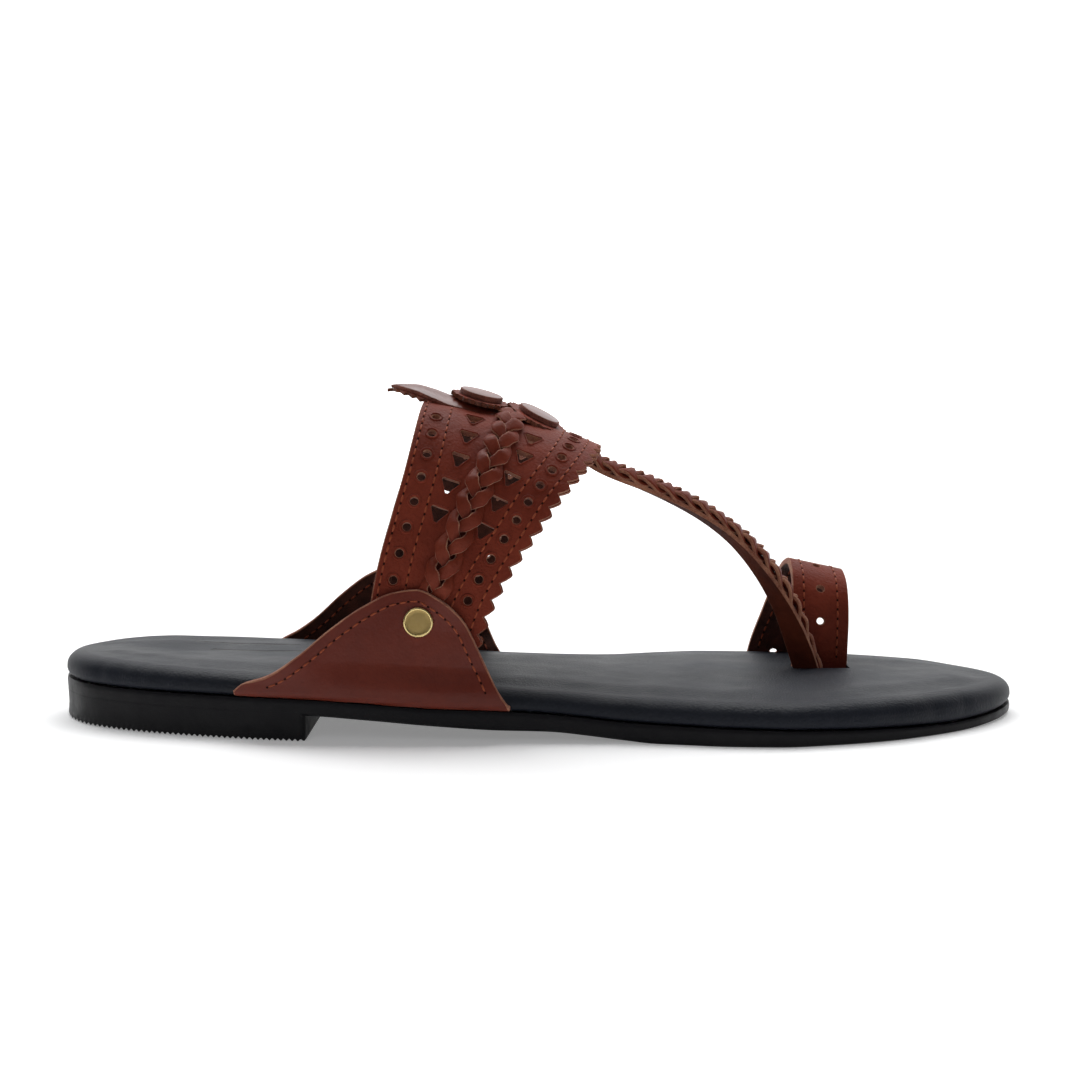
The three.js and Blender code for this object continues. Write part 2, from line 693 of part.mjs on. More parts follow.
function rootBody() {
  return boxBody(SLOT.x0 + 0.6, SLOT.x1 - 0.6, SLOT.y0 + 0.5, SLOT.y1 - GAP, ROOT.low, ROOT.high);
}

// ---------- side flaps ----------
// Inner face of a flap: hugs the insole edge low down and the instep arch higher up.
function flapY(x, z, side) {
  const edge = edgeY(x, side < 0 ? "outer" : "inner");
  const low = edge + side * GAP;
  const high = archY(x, z, side) + side * GAP;
  return lerp(low, high, soften(insoleTop(x) - 2, insoleTop(x) + 5, z));
}

// A flap in one: its tuck under the insole, the wall up past the insole edge, and the ear.
function flapBody(rows, side) {
  const [x0, x1] = span(rows);
  const levels = steps(6);
  const section = (edge, low, x) => {
    const [inward, out] = [edge - side * TUCK, edge + side * (GAP + FLAP_WALL)];
    const foot = low + FLAP_WALL;
    const top = Math.max(read(rows, "x", "top", x), foot + 0.5);
    const heights = levels.map((t) => lerp(foot, top, t));
    const innerFace = heights.map((z) => [flapY(x, z, side), z]);
    const outerFace = innerFace.map(([y, z]) => [y + side * FLAP_WALL, z]);
    const corner = [out - side * TUCK_CORNER, low];
    return [[inward, low], corner, ...outerFace, ...innerFace.reverse(), [inward, foot]];
  };
  return alongEdge(x0, x1, side, section, FLAP_STEPS).subtract(rivetHole(side));
}

// ---------- rivets ----------
function rivetFrame(side) {
  const { x, z } = RIVET;
  const p = (dx, dz) => new THREE.Vector3(x + dx, archY(x + dx, z + dz, side), z + dz);
  const out = p(1, 0).sub(p(-1, 0)).cross(p(0, 1).sub(p(0, -1))).normalize();
  if (out.y * side < 0) out.negate();
  const spin = new THREE.Quaternion().setFromUnitVectors(new THREE.Vector3(0, 1, 0), out);
  return new THREE.Matrix4().compose(p(0, 0), spin, new THREE.Vector3(1, 1, 1));
}

function rivetHole(side) {
  const hole = new THREE.CylinderGeometry(RIVET.shank + GAP, RIVET.shank + GAP, RIVET.hole, RIVET.facets - 4);
  return solid(hole.applyMatrix4(rivetFrame(side)));
}

function rivetBody(side) {
  const outside = GAP + FLAP_WALL + GAP + RIVET.stand;
  const inside = -BAND_WALL - GAP;
  const profile = [
    [0, inside - RIVET.burrHeight],
    [RIVET.burr, inside - RIVET.burrHeight],
    [RIVET.burr, inside],
    [RIVET.shank, inside],
    [RIVET.shank, outside],
    [RIVET.cap, outside],
    [RIVET.cap, outside + RIVET.capHeight * 0.6],
    [RIVET.cap - RIVET.bevel, outside + RIVET.capHeight],
    [0, outside + RIVET.capHeight],
  ].map(([r, y]) => new THREE.Vector2(r, y));
  return solid(new THREE.LatheGeometry(profile, RIVET.facets).applyMatrix4(rivetFrame(side)));
}

// ---------- plaits ----------
// Ring of a three-strand plait: scalloped edges and a row of domes that lean left and right.
function plaitRing(frame, run, width, height) {
  const phase = (Math.PI * run) / BRAID_PITCH;
  const left = 0.86 + 0.14 * Math.abs(Math.cos(phase));
  const right = 0.86 + 0.14 * Math.abs(Math.sin(phase));
  const bulge = [0.84 + 0.16 * Math.abs(Math.cos(phase)), 0.84 + 0.16 * Math.abs(Math.sin(phase))];
  const outline = [
    [-0.5 * left, 0],
    [0.5 * right, 0],
    [0.5 * right, 0.45],
    [0.27, bulge[1]],
    [0, 0.78],
    [-0.27, bulge[0]],
    [-0.5 * left, 0.45],
  ];
  return outline.map(([w, h]) =>
    frame.at
      .clone()
      .addScaledVector(frame.across, w * width)
      .addScaledVector(frame.out, GAP + PLAIT_CLEAR + h * height),
  );
}

const PLAIT_SHARE = 0.51; // where the plait lies across the band
const PLAIT_END_Z = 39; // it stops just above the flaps
const PLAIT_FLAT = 0.4; // pressed to this share of its height under the medallions

// Distance from the crown to the end of the plait on one side of the band.
function plaitEnd(sign) {
  let run = 30;
  while (bandSurface(0.5 + (sign * run) / BAND_LENGTH, PLAIT_SHARE).z > PLAIT_END_Z) run += 0.25;
  return sign * run;
}

function bandPlaitBody(fromRun, toRun) {
  const count = Math.round(Math.abs(toRun - fromRun) / (BRAID_PITCH / 4));
  const rings = steps(count).map((t) => {
    const run = lerp(fromRun, toRun, t);
    const u = 0.5 + run / BAND_LENGTH;
    const seat = seatOn(bandSurface, u, PLAIT_SHARE, 1);
    const [across, along, out] = [0, 1, 2].map((c) => new THREE.Vector3().setFromMatrixColumn(seat, c));
    const frame = { at: bandSurface(u, PLAIT_SHARE), along, across, out };
    const press = lerp(PLAIT_FLAT, 1, soften(8, 11, Math.abs(run)));
    return plaitRing(frame, run, BRAID_WIDTH, BRAID_HEIGHT * press);
  });
  return solid(lofted(rings));
}

function thongPlaitBody() {
  const { from, to } = THONG_BRAID_ENDS;
  const count = Math.round(((to - from) * THONG_LENGTH) / (BRAID_PITCH / 4));
  const rings = steps(count).map((t) => {
    const share = lerp(from, to, t);
    const frame = thongFrame(share);
    const squeeze = lerp(0.7, 1, soften(0.16, 0.24, share)) * lerp(1, 0.7, soften(0.75, 1, share));
    return plaitRing(frame, share * THONG_LENGTH, THONG_BRAID_WIDTH, THONG_BRAID_HEIGHT * squeeze);
  });
  return solid(lofted(rings));
}

// ---------- ornaments ----------
function discShape(radius, teeth, bite) {
  const shape = new THREE.Shape();
  const count = teeth ? 2 * teeth : DISC.facets;
  for (let i = 0; i < count; i += 1) {
    const r = teeth && i % 2 ? radius - bite : radius;
    const a = (2 * Math.PI * i) / count;
    if (i) shape.lineTo(r * Math.cos(a), r * Math.sin(a));
    else shape.moveTo(r, 0);
  }
  return shape;
}

const crownZ = (x) => read(ARCH, "x", "crown", x);

function discBody(spec, radius, teeth, low, thickness) {
  const disc = new THREE.ExtrudeGeometry(discShape(radius, teeth, DISC.bite), {
    depth: thickness,
    bevelEnabled: false,
  });
  const turn = new THREE.Matrix4().makeRotationY(radians(spec.tilt));
  const place = new THREE.Matrix4().makeTranslation(spec.x, spec.y, crownZ(spec.x) + spec.lift);
  return solid(disc.translate(0, 0, low).applyMatrix4(turn).applyMatrix4(place));
}

// Leaf tongue, pointed at the heel end, running under the rear medallion.
function leafBody(drop, grow, teeth) {
  const [tip, root] = [LEAF[0].x - grow, LEAF[LEAF.length - 1].x];
  const count = teeth ? 2 * teeth : LEAF_STEPS;
  const surface = (u, v) => {
    const x = lerp(tip, root, u);
    const bite = teeth && Math.round(u * count) % 2 ? LEAF_BITE : 0;
    const half = read(LEAF, "x", "half", x) + grow - bite;
    return new THREE.Vector3(x, LEAF_Y + lerp(-half, half, v), read(LEAF, "x", "z", x) - drop);
  };
  const smooth = (u, v) => new THREE.Vector3(lerp(tip, root, u), v, read(LEAF, "x", "z", lerp(tip, root, u)));
  return solid(thickSheet(surface, steps(count), () => steps(2), LEAF_WALL, 1, smooth));
}

// ---------- assembly ----------
function upperBody() {
  const straps = bandBody().subtract(rivetHole(-1)).subtract(rivetHole(1));
  return straps.add(thongBody()).add(loopBody()).add(loopFoot()).add(rootBody());
}

const group = new THREE.Group();
group.name = "kolhapuri_sandal";

const upper = upperBody();
const flaps = [flapBody(FLAP_OUTER, -1), flapBody(FLAP_INNER, 1)];
const loopEnd = LOOP[LOOP.length - 1];
const pockets = [
  tuckPocket(...span(FLAP_OUTER), -1, FLAP_WALL),
  tuckPocket(...span(FLAP_INNER), 1, FLAP_WALL),
  tuckPocket(loopEnd.rear, loopEnd.front, 1, LOOP_WALL),
  boxBody(SLOT.x0, SLOT.x1, SLOT.y0, SLOT.y1, SLOT.floor, INSOLE_ROOM),
];
const insole = pockets.reduce((body, pocket) => body.subtract(pocket), insoleBody());

addPiece(group, "outsole", outsoleBody(), SOLE_RUBBER);
addPiece(group, "insole", insole, INSOLE_LEATHER);
addPiece(group, "upper", upper, BROWN_LEATHER);
addPiece(group, "flap_outer", flaps[0], BROWN_LEATHER);
addPiece(group, "flap_inner", flaps[1], BROWN_LEATHER);
addPiece(group, "rivet_outer", rivetBody(-1), BRASS);
addPiece(group, "rivet_inner", rivetBody(1), BRASS);
addPiece(group, "band_plait", bandPlaitBody(plaitEnd(-1), plaitEnd(1)), PLAITED_LEATHER);
addPiece(group, "thong_plait", thongPlaitBody(), PLAITED_LEATHER);
addPiece(group, "leaf_top", leafBody(0, 0, 0), BROWN_LEATHER);
addPiece(group, "leaf_pinked", leafBody(LEAF_WALL + GAP, LEAF_OVERHANG, LEAF_TEETH), BROWN_LEATHER);
for (const spec of MEDALLIONS) {
  const pinked = discBody(spec, spec.pinked, DISC.teeth, 0, DISC.pinked);
  const cap = discBody(spec, spec.radius, 0, DISC.pinked + GAP, DISC.cap);
  addPiece(group, `medallion_${spec.name}_pinked`, pinked, BROWN_LEATHER);
  addPiece(group, `medallion_${spec.name}_cap`, cap, BROWN_LEATHER);
}

export default group;
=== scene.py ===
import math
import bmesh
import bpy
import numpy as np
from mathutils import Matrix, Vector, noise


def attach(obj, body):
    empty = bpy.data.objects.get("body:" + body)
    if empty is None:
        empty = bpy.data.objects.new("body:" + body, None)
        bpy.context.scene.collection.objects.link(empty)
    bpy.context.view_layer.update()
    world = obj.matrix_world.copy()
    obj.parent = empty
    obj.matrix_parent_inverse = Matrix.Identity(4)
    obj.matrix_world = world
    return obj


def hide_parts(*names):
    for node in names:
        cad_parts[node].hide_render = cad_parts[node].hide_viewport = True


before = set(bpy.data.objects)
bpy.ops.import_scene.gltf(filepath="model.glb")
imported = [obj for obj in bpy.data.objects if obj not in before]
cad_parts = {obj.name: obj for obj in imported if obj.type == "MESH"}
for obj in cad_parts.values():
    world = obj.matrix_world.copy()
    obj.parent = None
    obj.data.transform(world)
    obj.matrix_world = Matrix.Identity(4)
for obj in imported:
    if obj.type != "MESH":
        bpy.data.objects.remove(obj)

# %% [markdown]
# # A kolhapuri sandal for the right foot
# A kolhapuri is a flat toe-loop sandal from western India. A wide punched band crosses the
# instep, a narrow plaited thong runs from it to a loop for the big toe, and everything is
# stitched between a thin padded insole and a rubber outsole. The measured model that was
# loaded above gives every piece its place, so each piece here is made in that same frame.

MM = 0.001  # Blender works in metres, a sandal maker in millimetres
HOME = np.array([-1.3, 0.3, 0.0])  # from the maker's drawing to the middle of the frame
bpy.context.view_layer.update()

# %% [markdown]
# ## Sizes as short tables
# A last has no straight lines, so its sizes are kept as a maker keeps them: a few stations
# with the size at each. Between two stations a monotone curve is used, because a plain
# spline would swing past the sizes at the heel and toe.

# %% Reading a table
def table(columns, *rows):
    return [dict(zip(columns.split(), row)) for row in rows]


def read(rows, key, column, at):
    """Smooth value of one column at one or many keys."""
    keys = np.array([row[key] for row in rows], float)
    values = np.array([row[column] for row in rows], float)
    slope = np.diff(values) / np.diff(keys)
    before, after = slope[:-1], slope[1:]
    total = np.where(before + after == 0, 1, before + after)
    level = np.where(before * after > 0, 2 * before * after / total, 0)
    tangent = np.concatenate([slope[:1], level, slope[-1:]])
    at = np.clip(np.asarray(at, float), keys[0], keys[-1])
    i = np.clip(np.searchsorted(keys, at) - 1, 0, len(keys) - 2)
    span = keys[i + 1] - keys[i]
    t = (at - keys[i]) / span
    t2, t3 = t * t, t * t * t
    held = (2 * t3 - 3 * t2 + 1) * values[i] + (3 * t2 - 2 * t3) * values[i + 1]
    return held + ((t3 - 2 * t2 + t) * tangent[i] + (t3 - t2) * tangent[i + 1]) * span


def lerp(a, b, t):
    return a + (b - a) * t


def soften(low, high, value):
    t = np.clip((np.asarray(value, float) - low) / (high - low), 0, 1)
    return t * t * (3 - 2 * t)


# %% Sizes of the sole, in millimetres
GAP = 0.3
HEEL_END, TOE_END, BREAST_X = -125.6, 128.2, -57.0
HEEL_LIP = 7.4
OUTLINE = table(
    "x outer inner",
    (HEEL_END, 1.5, 1.5), (-122, -10.4, 13), (-117, -16.8, 19.4), (-109, -22.4, 25),
    (-99, -27.2, 28.2), (-85, -31.8, 28.8), (-68, -36, 27.6), (-50, -38.6, 25.4),
    (-30, -39.4, 23), (-12, -38.8, 22.6), (4, -38.2, 25.8), (20, -39, 32.4),
    (35, -41.6, 38.6), (48, -44, 41.8), (60, -44.6, 42), (74, -42, 39.6),
    (88, -37.4, 36.8), (101, -30.6, 33.6), (112, -22.8, 28.4), (120.5, -14.2, 21),
    (125.8, -6, 13), (TOE_END, 3.4, 3.4),
)
PROFILE = table(
    "x under seam pad",
    (HEEL_END, 6.8, 11, 6.4), (-110, 6.8, 10.95, 6.3), (-90, 6.8, 10.9, 5.7),
    (-57, 6.5, 10.6, 5.2),
    (-41, 5.5, 9.7, 5.4), (-26, 4.2, 8.6, 5.6), (-10, 3, 7.9, 5.3), (4, 2.5, 7, 5.1),
    (14, 1.5, 6, 5.2), (22, 0.6, 5.2, 5.5), (30, 0, 4.9, 5.6), (60, 0, 4.2, 5.9),
    (90, 0, 3.2, 7), (108, 0, 2.6, 7.3), (119, 0.3, 2.8, 6.7), (TOE_END, 0.9, 3.4, 6),
)
INSOLE_EDGE = table(
    "share inset",
    (0, 1.2), (0.1, 0.4), (0.3, 0), (0.5, 0.1), (0.7, 0.7), (0.86, 1.8), (0.96, 3.2), (1, 4.8),
)
SLAB_EDGE = table("share inset", (0, 0.7), (0.15, 0.15), (0.8, 0), (1, 0.2))
HEEL_EDGE = table("share inset", (0, 0.35), (0.15, 0.05), (0.5, 0.25), (1, 0.1))


def turn_of(x):
    """Stations bunch up towards heel and toe, where the outline turns fastest."""
    return np.arccos(np.clip(1 - 2 * (x - HEEL_END) / (TOE_END - HEEL_END), -1, 1)) / math.pi


for row in OUTLINE:
    row["turn"] = float(turn_of(row["x"]))


def edge_y(x, column):
    return read(OUTLINE, "turn", column, turn_of(x))


def sole_z(x, column):
    return read(PROFILE, "x", column, x)


def insole_top(x):
    return sole_z(x, "seam") + GAP / 2 + sole_z(x, "pad")


def plan_point(q):
    """Round the sole: 0 heel, 1 toe along the little-toe side, back to 2 on the other."""
    q = np.mod(q, 2)
    t = np.where(q <= 1, q, 2 - q)
    x = lerp(HEEL_END, TOE_END, (1 - np.cos(math.pi * t)) / 2)
    outer, inner = (read(OUTLINE, "turn", side, t) for side in ("outer", "inner"))
    return np.stack([x, np.where(q <= 1, outer, inner)], axis=-1)


def plan_inset(q, inset):
    step = 2e-3
    along = plan_point(q + step) - plan_point(q - step)
    along = along / np.linalg.norm(along, axis=-1, keepdims=True)
    inward = np.stack([-along[..., 1], along[..., 0]], axis=-1)
    return plan_point(q) + inward * np.asarray(inset)[..., None]


ball = plan_point(turn_of(60.0))
print("length", TOE_END - HEEL_END, "mm, ball edge at", ball.round(1))

# %% [markdown]
# ## Camera, light and floor
# The sandal stands side on, seen from the little-toe side and a little from above, as a
# shop shows it. The floor rises into a curved backdrop, so there is no horizon line. One
# large soft light hangs overhead and behind, so the soft shadow falls forward. The
# table glows a little from below, which keeps the shadow under the arch pale, the back of
# the sweep is a back-lit panel, and the dim room keeps the black sole from turning grey.

# %% Camera
CAMERA_PLACE, LOOKS_DOWN = (0, -0.4447, 0.091), 5.71  # metres, and degrees below level
scene = bpy.context.scene
camera_data = bpy.data.cameras.new("shop_camera")
camera_data.sensor_width, camera_data.lens = 36, 55.78
camera = bpy.data.objects.new("shop_camera", camera_data)
camera.location = CAMERA_PLACE
camera.rotation_euler = (math.radians(90 - LOOKS_DOWN), 0, 0)
scene.collection.objects.link(camera)
scene.camera = camera
scene.view_settings.view_transform = "Standard"

# %% Colours and nodes
def colour(hex_code):
    """sRGB hex to the linear colour that Blender's sockets hold."""
    parts = [int(hex_code[i : i + 2], 16) / 255 for i in (1, 3, 5)]
    linear = [c / 12.92 if c <= 0.04045 else ((c + 0.055) / 1.055) ** 2.4 for c in parts]
    return (*linear, 1.0)


def add(tree, kind, inputs=None, **settings):
    """One node, its settings, and what goes into its sockets."""
    made = tree.nodes.new(kind)
    for name, value in settings.items():
        setattr(made, name, value)
    for socket, value in (inputs or {}).items():
        if isinstance(value, bpy.types.NodeSocket):
            tree.links.new(value, made.inputs[socket])
        else:
            made.inputs[socket].default_value = value
    return made


def surface(name, **values):
    """A material with its Principled surface; plain numbers sit on its own sockets."""
    material = bpy.data.materials.new(name)
    material.use_nodes = True
    shader = material.node_tree.nodes["Principled BSDF"]
    for socket, value in values.items():
        shader.inputs[socket.replace("_", " ")].default_value = value
    return material, material.node_tree, shader


# %% Floor and backdrop
def make_backdrop(depth=0.85, height=2.4, radius=0.7, front=-3.0, half_width=4.0):
    bm = bmesh.new()
    start = [bm.verts.new((-half_width, y, 0)) for y in (front, depth)]
    bm.edges.new(start)
    swept = bmesh.ops.spin(
        bm, geom=[start[1]], cent=(0, depth, radius), axis=(1, 0, 0),
        angle=math.radians(90), steps=16, use_merge=False,
    )
    top = [g for g in swept["geom_last"] if isinstance(g, bmesh.types.BMVert)][0]
    wall = bm.verts.new((-half_width, depth + radius, height))
    bm.edges.new((top, wall))
    sheet = bmesh.ops.extrude_edge_only(bm, edges=bm.edges[:])
    moved = [g for g in sheet["geom"] if isinstance(g, bmesh.types.BMVert)]
    bmesh.ops.translate(bm, vec=(2 * half_width, 0, 0), verts=moved)
    bmesh.ops.recalc_face_normals(bm, faces=bm.faces[:])
    if sum(face.normal.z for face in bm.faces) < 0:
        bmesh.ops.reverse_faces(bm, faces=bm.faces[:])
    for face in bm.faces:
        face.smooth = True
        face.material_index = 1 if face.calc_center_median().y > depth else 0
    mesh = bpy.data.meshes.new("backdrop")
    bm.to_mesh(mesh)
    bm.free()
    return bpy.data.objects.new("backdrop", mesh)


paper, _, _ = surface("lit_white_table", Base_Color=colour("#EEEEEE"), Roughness=0.9,
                      Emission_Color=colour("#FFFFFF"), Emission_Strength=0.24)
panel, _, _ = surface("back_lit_white_panel", Base_Color=colour("#F2F2F2"), Roughness=0.9,
                      Emission_Color=colour("#FFFFFF"), Emission_Strength=0.85)
backdrop = make_backdrop()
backdrop.data.materials.append(paper)
backdrop.data.materials.append(panel)
scene.collection.objects.link(backdrop)
print("backdrop faces:", len(backdrop.data.polygons))

# %% Soft lights
def soft_light(name, place, aim, size, watts):
    data = bpy.data.lights.new(name, "AREA")
    data.shape = "RECTANGLE"
    data.size, data.size_y = size
    data.energy = watts
    lamp = bpy.data.objects.new(name, data)
    lamp.location = place
    lamp.rotation_euler = (Vector(aim) - Vector(place)).to_track_quat("-Z", "Y").to_euler()
    scene.collection.objects.link(lamp)


soft_light("overhead_softbox", (0, 0.5, 1.25), (0, 0.05, 0), (1.8, 0.9), 22)
soft_light("near_fill", (-0.5, -1.7, 1.3), (0, 0, 0.03), (1.2, 0.9), 3)
world = bpy.data.worlds.new("dim_room")
world.use_nodes = True
world.node_tree.nodes["Background"].inputs["Color"].default_value = colour("#E4E9F2")
world.node_tree.nodes["Background"].inputs["Strength"].default_value = 0.1
scene.world = world

# %% [markdown]
# ## Skins made from grids
# The sole layers are moulded or wrapped over a last, so they are made as skins: a flat grid
# is carried point by point onto the shape, and grids that share a border are welded. That
# keeps the faces even, which matters where light slides along a black edge.

# %% Skins
def skin(bm, across, along, place, material=None):
    """A flat grid of squares whose points are carried to place(s, t), both 0 to 1."""
    made = bmesh.ops.create_grid(bm, x_segments=across, y_segments=along, size=0.5)["verts"]
    flat = np.array([v.co for v in made]) + 0.5
    if material:
        for face in {face for vert in made for face in vert.link_faces}:
            middle = face.calc_center_median()
            face.material_index = material(middle.x + 0.5, middle.y + 0.5)
    for vert, point in zip(made, (place(flat[:, 0], flat[:, 1]) + HOME) * MM):
        vert.co = point


def join3(x, y, z):
    return np.stack(np.broadcast_arrays(x, y, z), axis=-1).astype(float)


def finish_mesh(bm, name, materials, sharp=None, weld=1e-6):
    """Welds, faces outwards, and becomes an object that rides with the sandal."""
    if weld:
        bmesh.ops.remove_doubles(bm, verts=bm.verts[:], dist=weld)
        bmesh.ops.dissolve_degenerate(bm, edges=bm.edges[:], dist=1e-7)
        bmesh.ops.recalc_face_normals(bm, faces=bm.faces[:])
    mesh = bpy.data.meshes.new(name)
    bm.to_mesh(mesh)
    bm.free()
    for material in materials:
        mesh.materials.append(material)
    mesh.polygons.foreach_set("use_smooth", [True] * len(mesh.polygons))
    if sharp:
        mesh.set_sharp_from_angle(angle=math.radians(sharp))
    piece = bpy.data.objects.new(name, mesh)
    scene.collection.objects.link(piece)
    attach(piece, "root")
    open_edges = sum(1 for n in np.bincount(
        np.array([loop.edge_index for loop in mesh.loops])) if n != 2)
    print(f"{name}: {len(mesh.polygons)} faces, {open_edges} edges not shared by two")
    return piece


def layer_wall(rows, low, high, q, share):
    """A point of the side wall of a sole layer."""
    flat = plan_inset(q, read(rows, "share", "inset", share))
    x = plan_point(q)[..., 0]
    return join3(flat[..., 0], flat[..., 1], lerp(low(x), high(x), share))


def layer_face(rows, share, height, s, t):
    """A point of its top or bottom: s from heel to toe, t from outer to inner side."""
    inset = np.full_like(s, read(rows, "share", "inset", share))
    near, far = plan_inset(s, inset), plan_inset(2 - s, inset)
    flat = lerp(near, far, t[:, None])
    x = plan_point(s)[..., 0]
    return join3(flat[:, 0], flat[:, 1], height(x))


# %% [markdown]
# ## Rubber sole
# The outsole is black rubber moulded in one with its low heel. Moulded rubber is dull but
# smooth, with soft edges, so it gives a broad weak highlight. The heel stands on a fine
# saw-tooth tread, which is cut here tooth by tooth, because it shows along the ground line.

# %% Black rubber
def black_rubber():
    made, tree, shader = surface("black_sole_rubber", Roughness=0.42, Specular_IOR_Level=0.13)
    place = add(tree, "ShaderNodeTexCoord").outputs["Object"]
    # Moulding marks about 4 mm apart and a grit of 0.3 mm, as a steel mould leaves.
    marks = add(tree, "ShaderNodeTexNoise", {"Vector": place, "Scale": 260.0, "Detail": 3.0})
    grit = add(tree, "ShaderNodeTexNoise", {"Vector": place, "Scale": 3200.0, "Detail": 2.0})
    tone = add(tree, "ShaderNodeMix", {0: marks.outputs["Fac"], 6: colour("#0B0A0C"),
                                       7: colour("#121115")}, data_type="RGBA")
    tree.links.new(tone.outputs[2], shader.inputs["Base Color"])
    gloss = add(tree, "ShaderNodeMapRange", {"Value": marks.outputs["Fac"], 1: 0.3, 2: 0.7,
                                             3: 0.34, 4: 0.5})
    tree.links.new(gloss.outputs[0], shader.inputs["Roughness"])
    low = add(tree, "ShaderNodeBump", {"Height": grit.outputs["Fac"], "Strength": 0.12,
                                       "Distance": 0.0003})
    bump = add(tree, "ShaderNodeBump", {"Height": marks.outputs["Fac"], "Strength": 0.25,
                                        "Distance": 0.0006, "Normal": low.outputs[0]})
    tree.links.new(bump.outputs[0], shader.inputs["Normal"])
    return made


RUBBER = black_rubber()

# %% Outsole slab and heel
SLAB_STEPS = 220
BREAST_TURN = float(turn_of(BREAST_X))
TOOTH, TOOTH_RISE = 1.45, 0.7
BREAST_ROUND = 1.5  # radius of the upright corners at the front of the heel


def slab_low(x):
    return sole_z(x, "under")


def slab_high(x):
    return sole_z(x, "seam") - GAP / 2


def tread(x):
    """Underside of the heel: a row of small teeth across it."""
    return TOOTH_RISE * np.abs(2 * np.mod(x / TOOTH, 1) - 1)


def corner_inset(x):
    near = np.clip(BREAST_ROUND - (BREAST_X - x), 0, BREAST_ROUND)
    return BREAST_ROUND - np.sqrt(BREAST_ROUND**2 - near**2)


def heel_wall(s, share):
    q = np.where(s < 0.5, 2 - (1 - 2 * s) * BREAST_TURN, (2 * s - 1) * BREAST_TURN)
    x = plan_point(q)[..., 0]
    inset = read(HEEL_EDGE, "share", "inset", share) + corner_inset(x)
    flat = plan_inset(q, inset)
    above = lerp(TOOTH_RISE + 0.3, HEEL_LIP, np.clip(share - 1 / 6, 0, 1) * 1.2)
    height = np.where(share < 0.1, tread(flat[..., 0]), above)
    return join3(flat[..., 0], flat[..., 1], height)


def heel_face(share, s, t):
    q = s * BREAST_TURN
    inset = read(HEEL_EDGE, "share", "inset", share) + corner_inset(plan_point(q)[..., 0])
    near, far = plan_inset(q, inset), plan_inset(2 - q, inset)
    flat = lerp(near, far, t[:, None])
    height = tread(flat[:, 0]) if share == 0 else np.full_like(s, HEEL_LIP)
    return join3(flat[:, 0], flat[:, 1], height)


def make_outsole():
    bm = bmesh.new()
    skin(bm, 2 * SLAB_STEPS, 8, lambda s, t: layer_wall(SLAB_EDGE, slab_low, slab_high, 2 * s, t))
    skin(bm, SLAB_STEPS, 10, lambda s, t: layer_face(SLAB_EDGE, 1, slab_high, s, t))
    skin(bm, SLAB_STEPS, 10, lambda s, t: layer_face(SLAB_EDGE, 0, slab_low, s, t))
    steps = 400
    skin(bm, 2 * steps, 6, heel_wall)
    skin(bm, steps, 4, lambda s, t: heel_face(0, s, t))
    skin(bm, steps, 4, lambda s, t: heel_face(1, s, t))
    bmesh.ops.remove_doubles(bm, verts=bm.verts[:], dist=1e-6)
    bmesh.ops.holes_fill(bm, edges=[e for e in bm.edges if e.is_boundary], sides=0)
    return finish_mesh(bm, "rubber_outsole", [RUBBER], sharp=35)


outsole = make_outsole()
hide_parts("outsole")

# %% [markdown]
# ## Padded insole
# The insole is a foam pad under black sheep-like lining leather that is pulled round
# its edge and glued underneath. The foam makes the edge round and the top faintly wavy, and
# where the cover is pulled round a tight curve it gathers in small puckers. Those puckers
# are listed one by one, because a simulation would put them anywhere.

# %% Black lining leather
# Two plain lines pressed hot into the heel of the cover: start, end and half width, in mm.
HEEL_LINES = (((-96, 14.5), (-66, 10), 0.45), ((-89, 5), (-64, -0.5), 0.9))


def pressed_line(tree, place, start, end, half):
    """1 on a straight line drawn on the sole plan, and 0 beside it."""
    run = np.subtract(end, start)
    ahead = run / np.hypot(*run)
    away = add(tree, "ShaderNodeVectorMath", {0: place, 1: (*(np.mean([start, end], 0) * MM), 0)},
               operation="SUBTRACT")
    parts = []
    for line, reach in ((ahead, np.hypot(*run) / 2), ((-ahead[1], ahead[0]), half)):
        along = add(tree, "ShaderNodeVectorMath", {0: away.outputs[0], 1: (*line, 0)},
                    operation="DOT_PRODUCT")
        size = add(tree, "ShaderNodeMath", {0: along.outputs["Value"]}, operation="ABSOLUTE")
        parts.append(add(tree, "ShaderNodeMapRange", {"Value": size.outputs[0], 3: 1, 4: 0,
                                                      1: (reach - 0.15) * MM,
                                                      2: (reach + 0.15) * MM}))
    inside = add(tree, "ShaderNodeMath", {0: parts[0].outputs[0], 1: parts[1].outputs[0]},
                 operation="MULTIPLY")
    return inside.outputs[0]


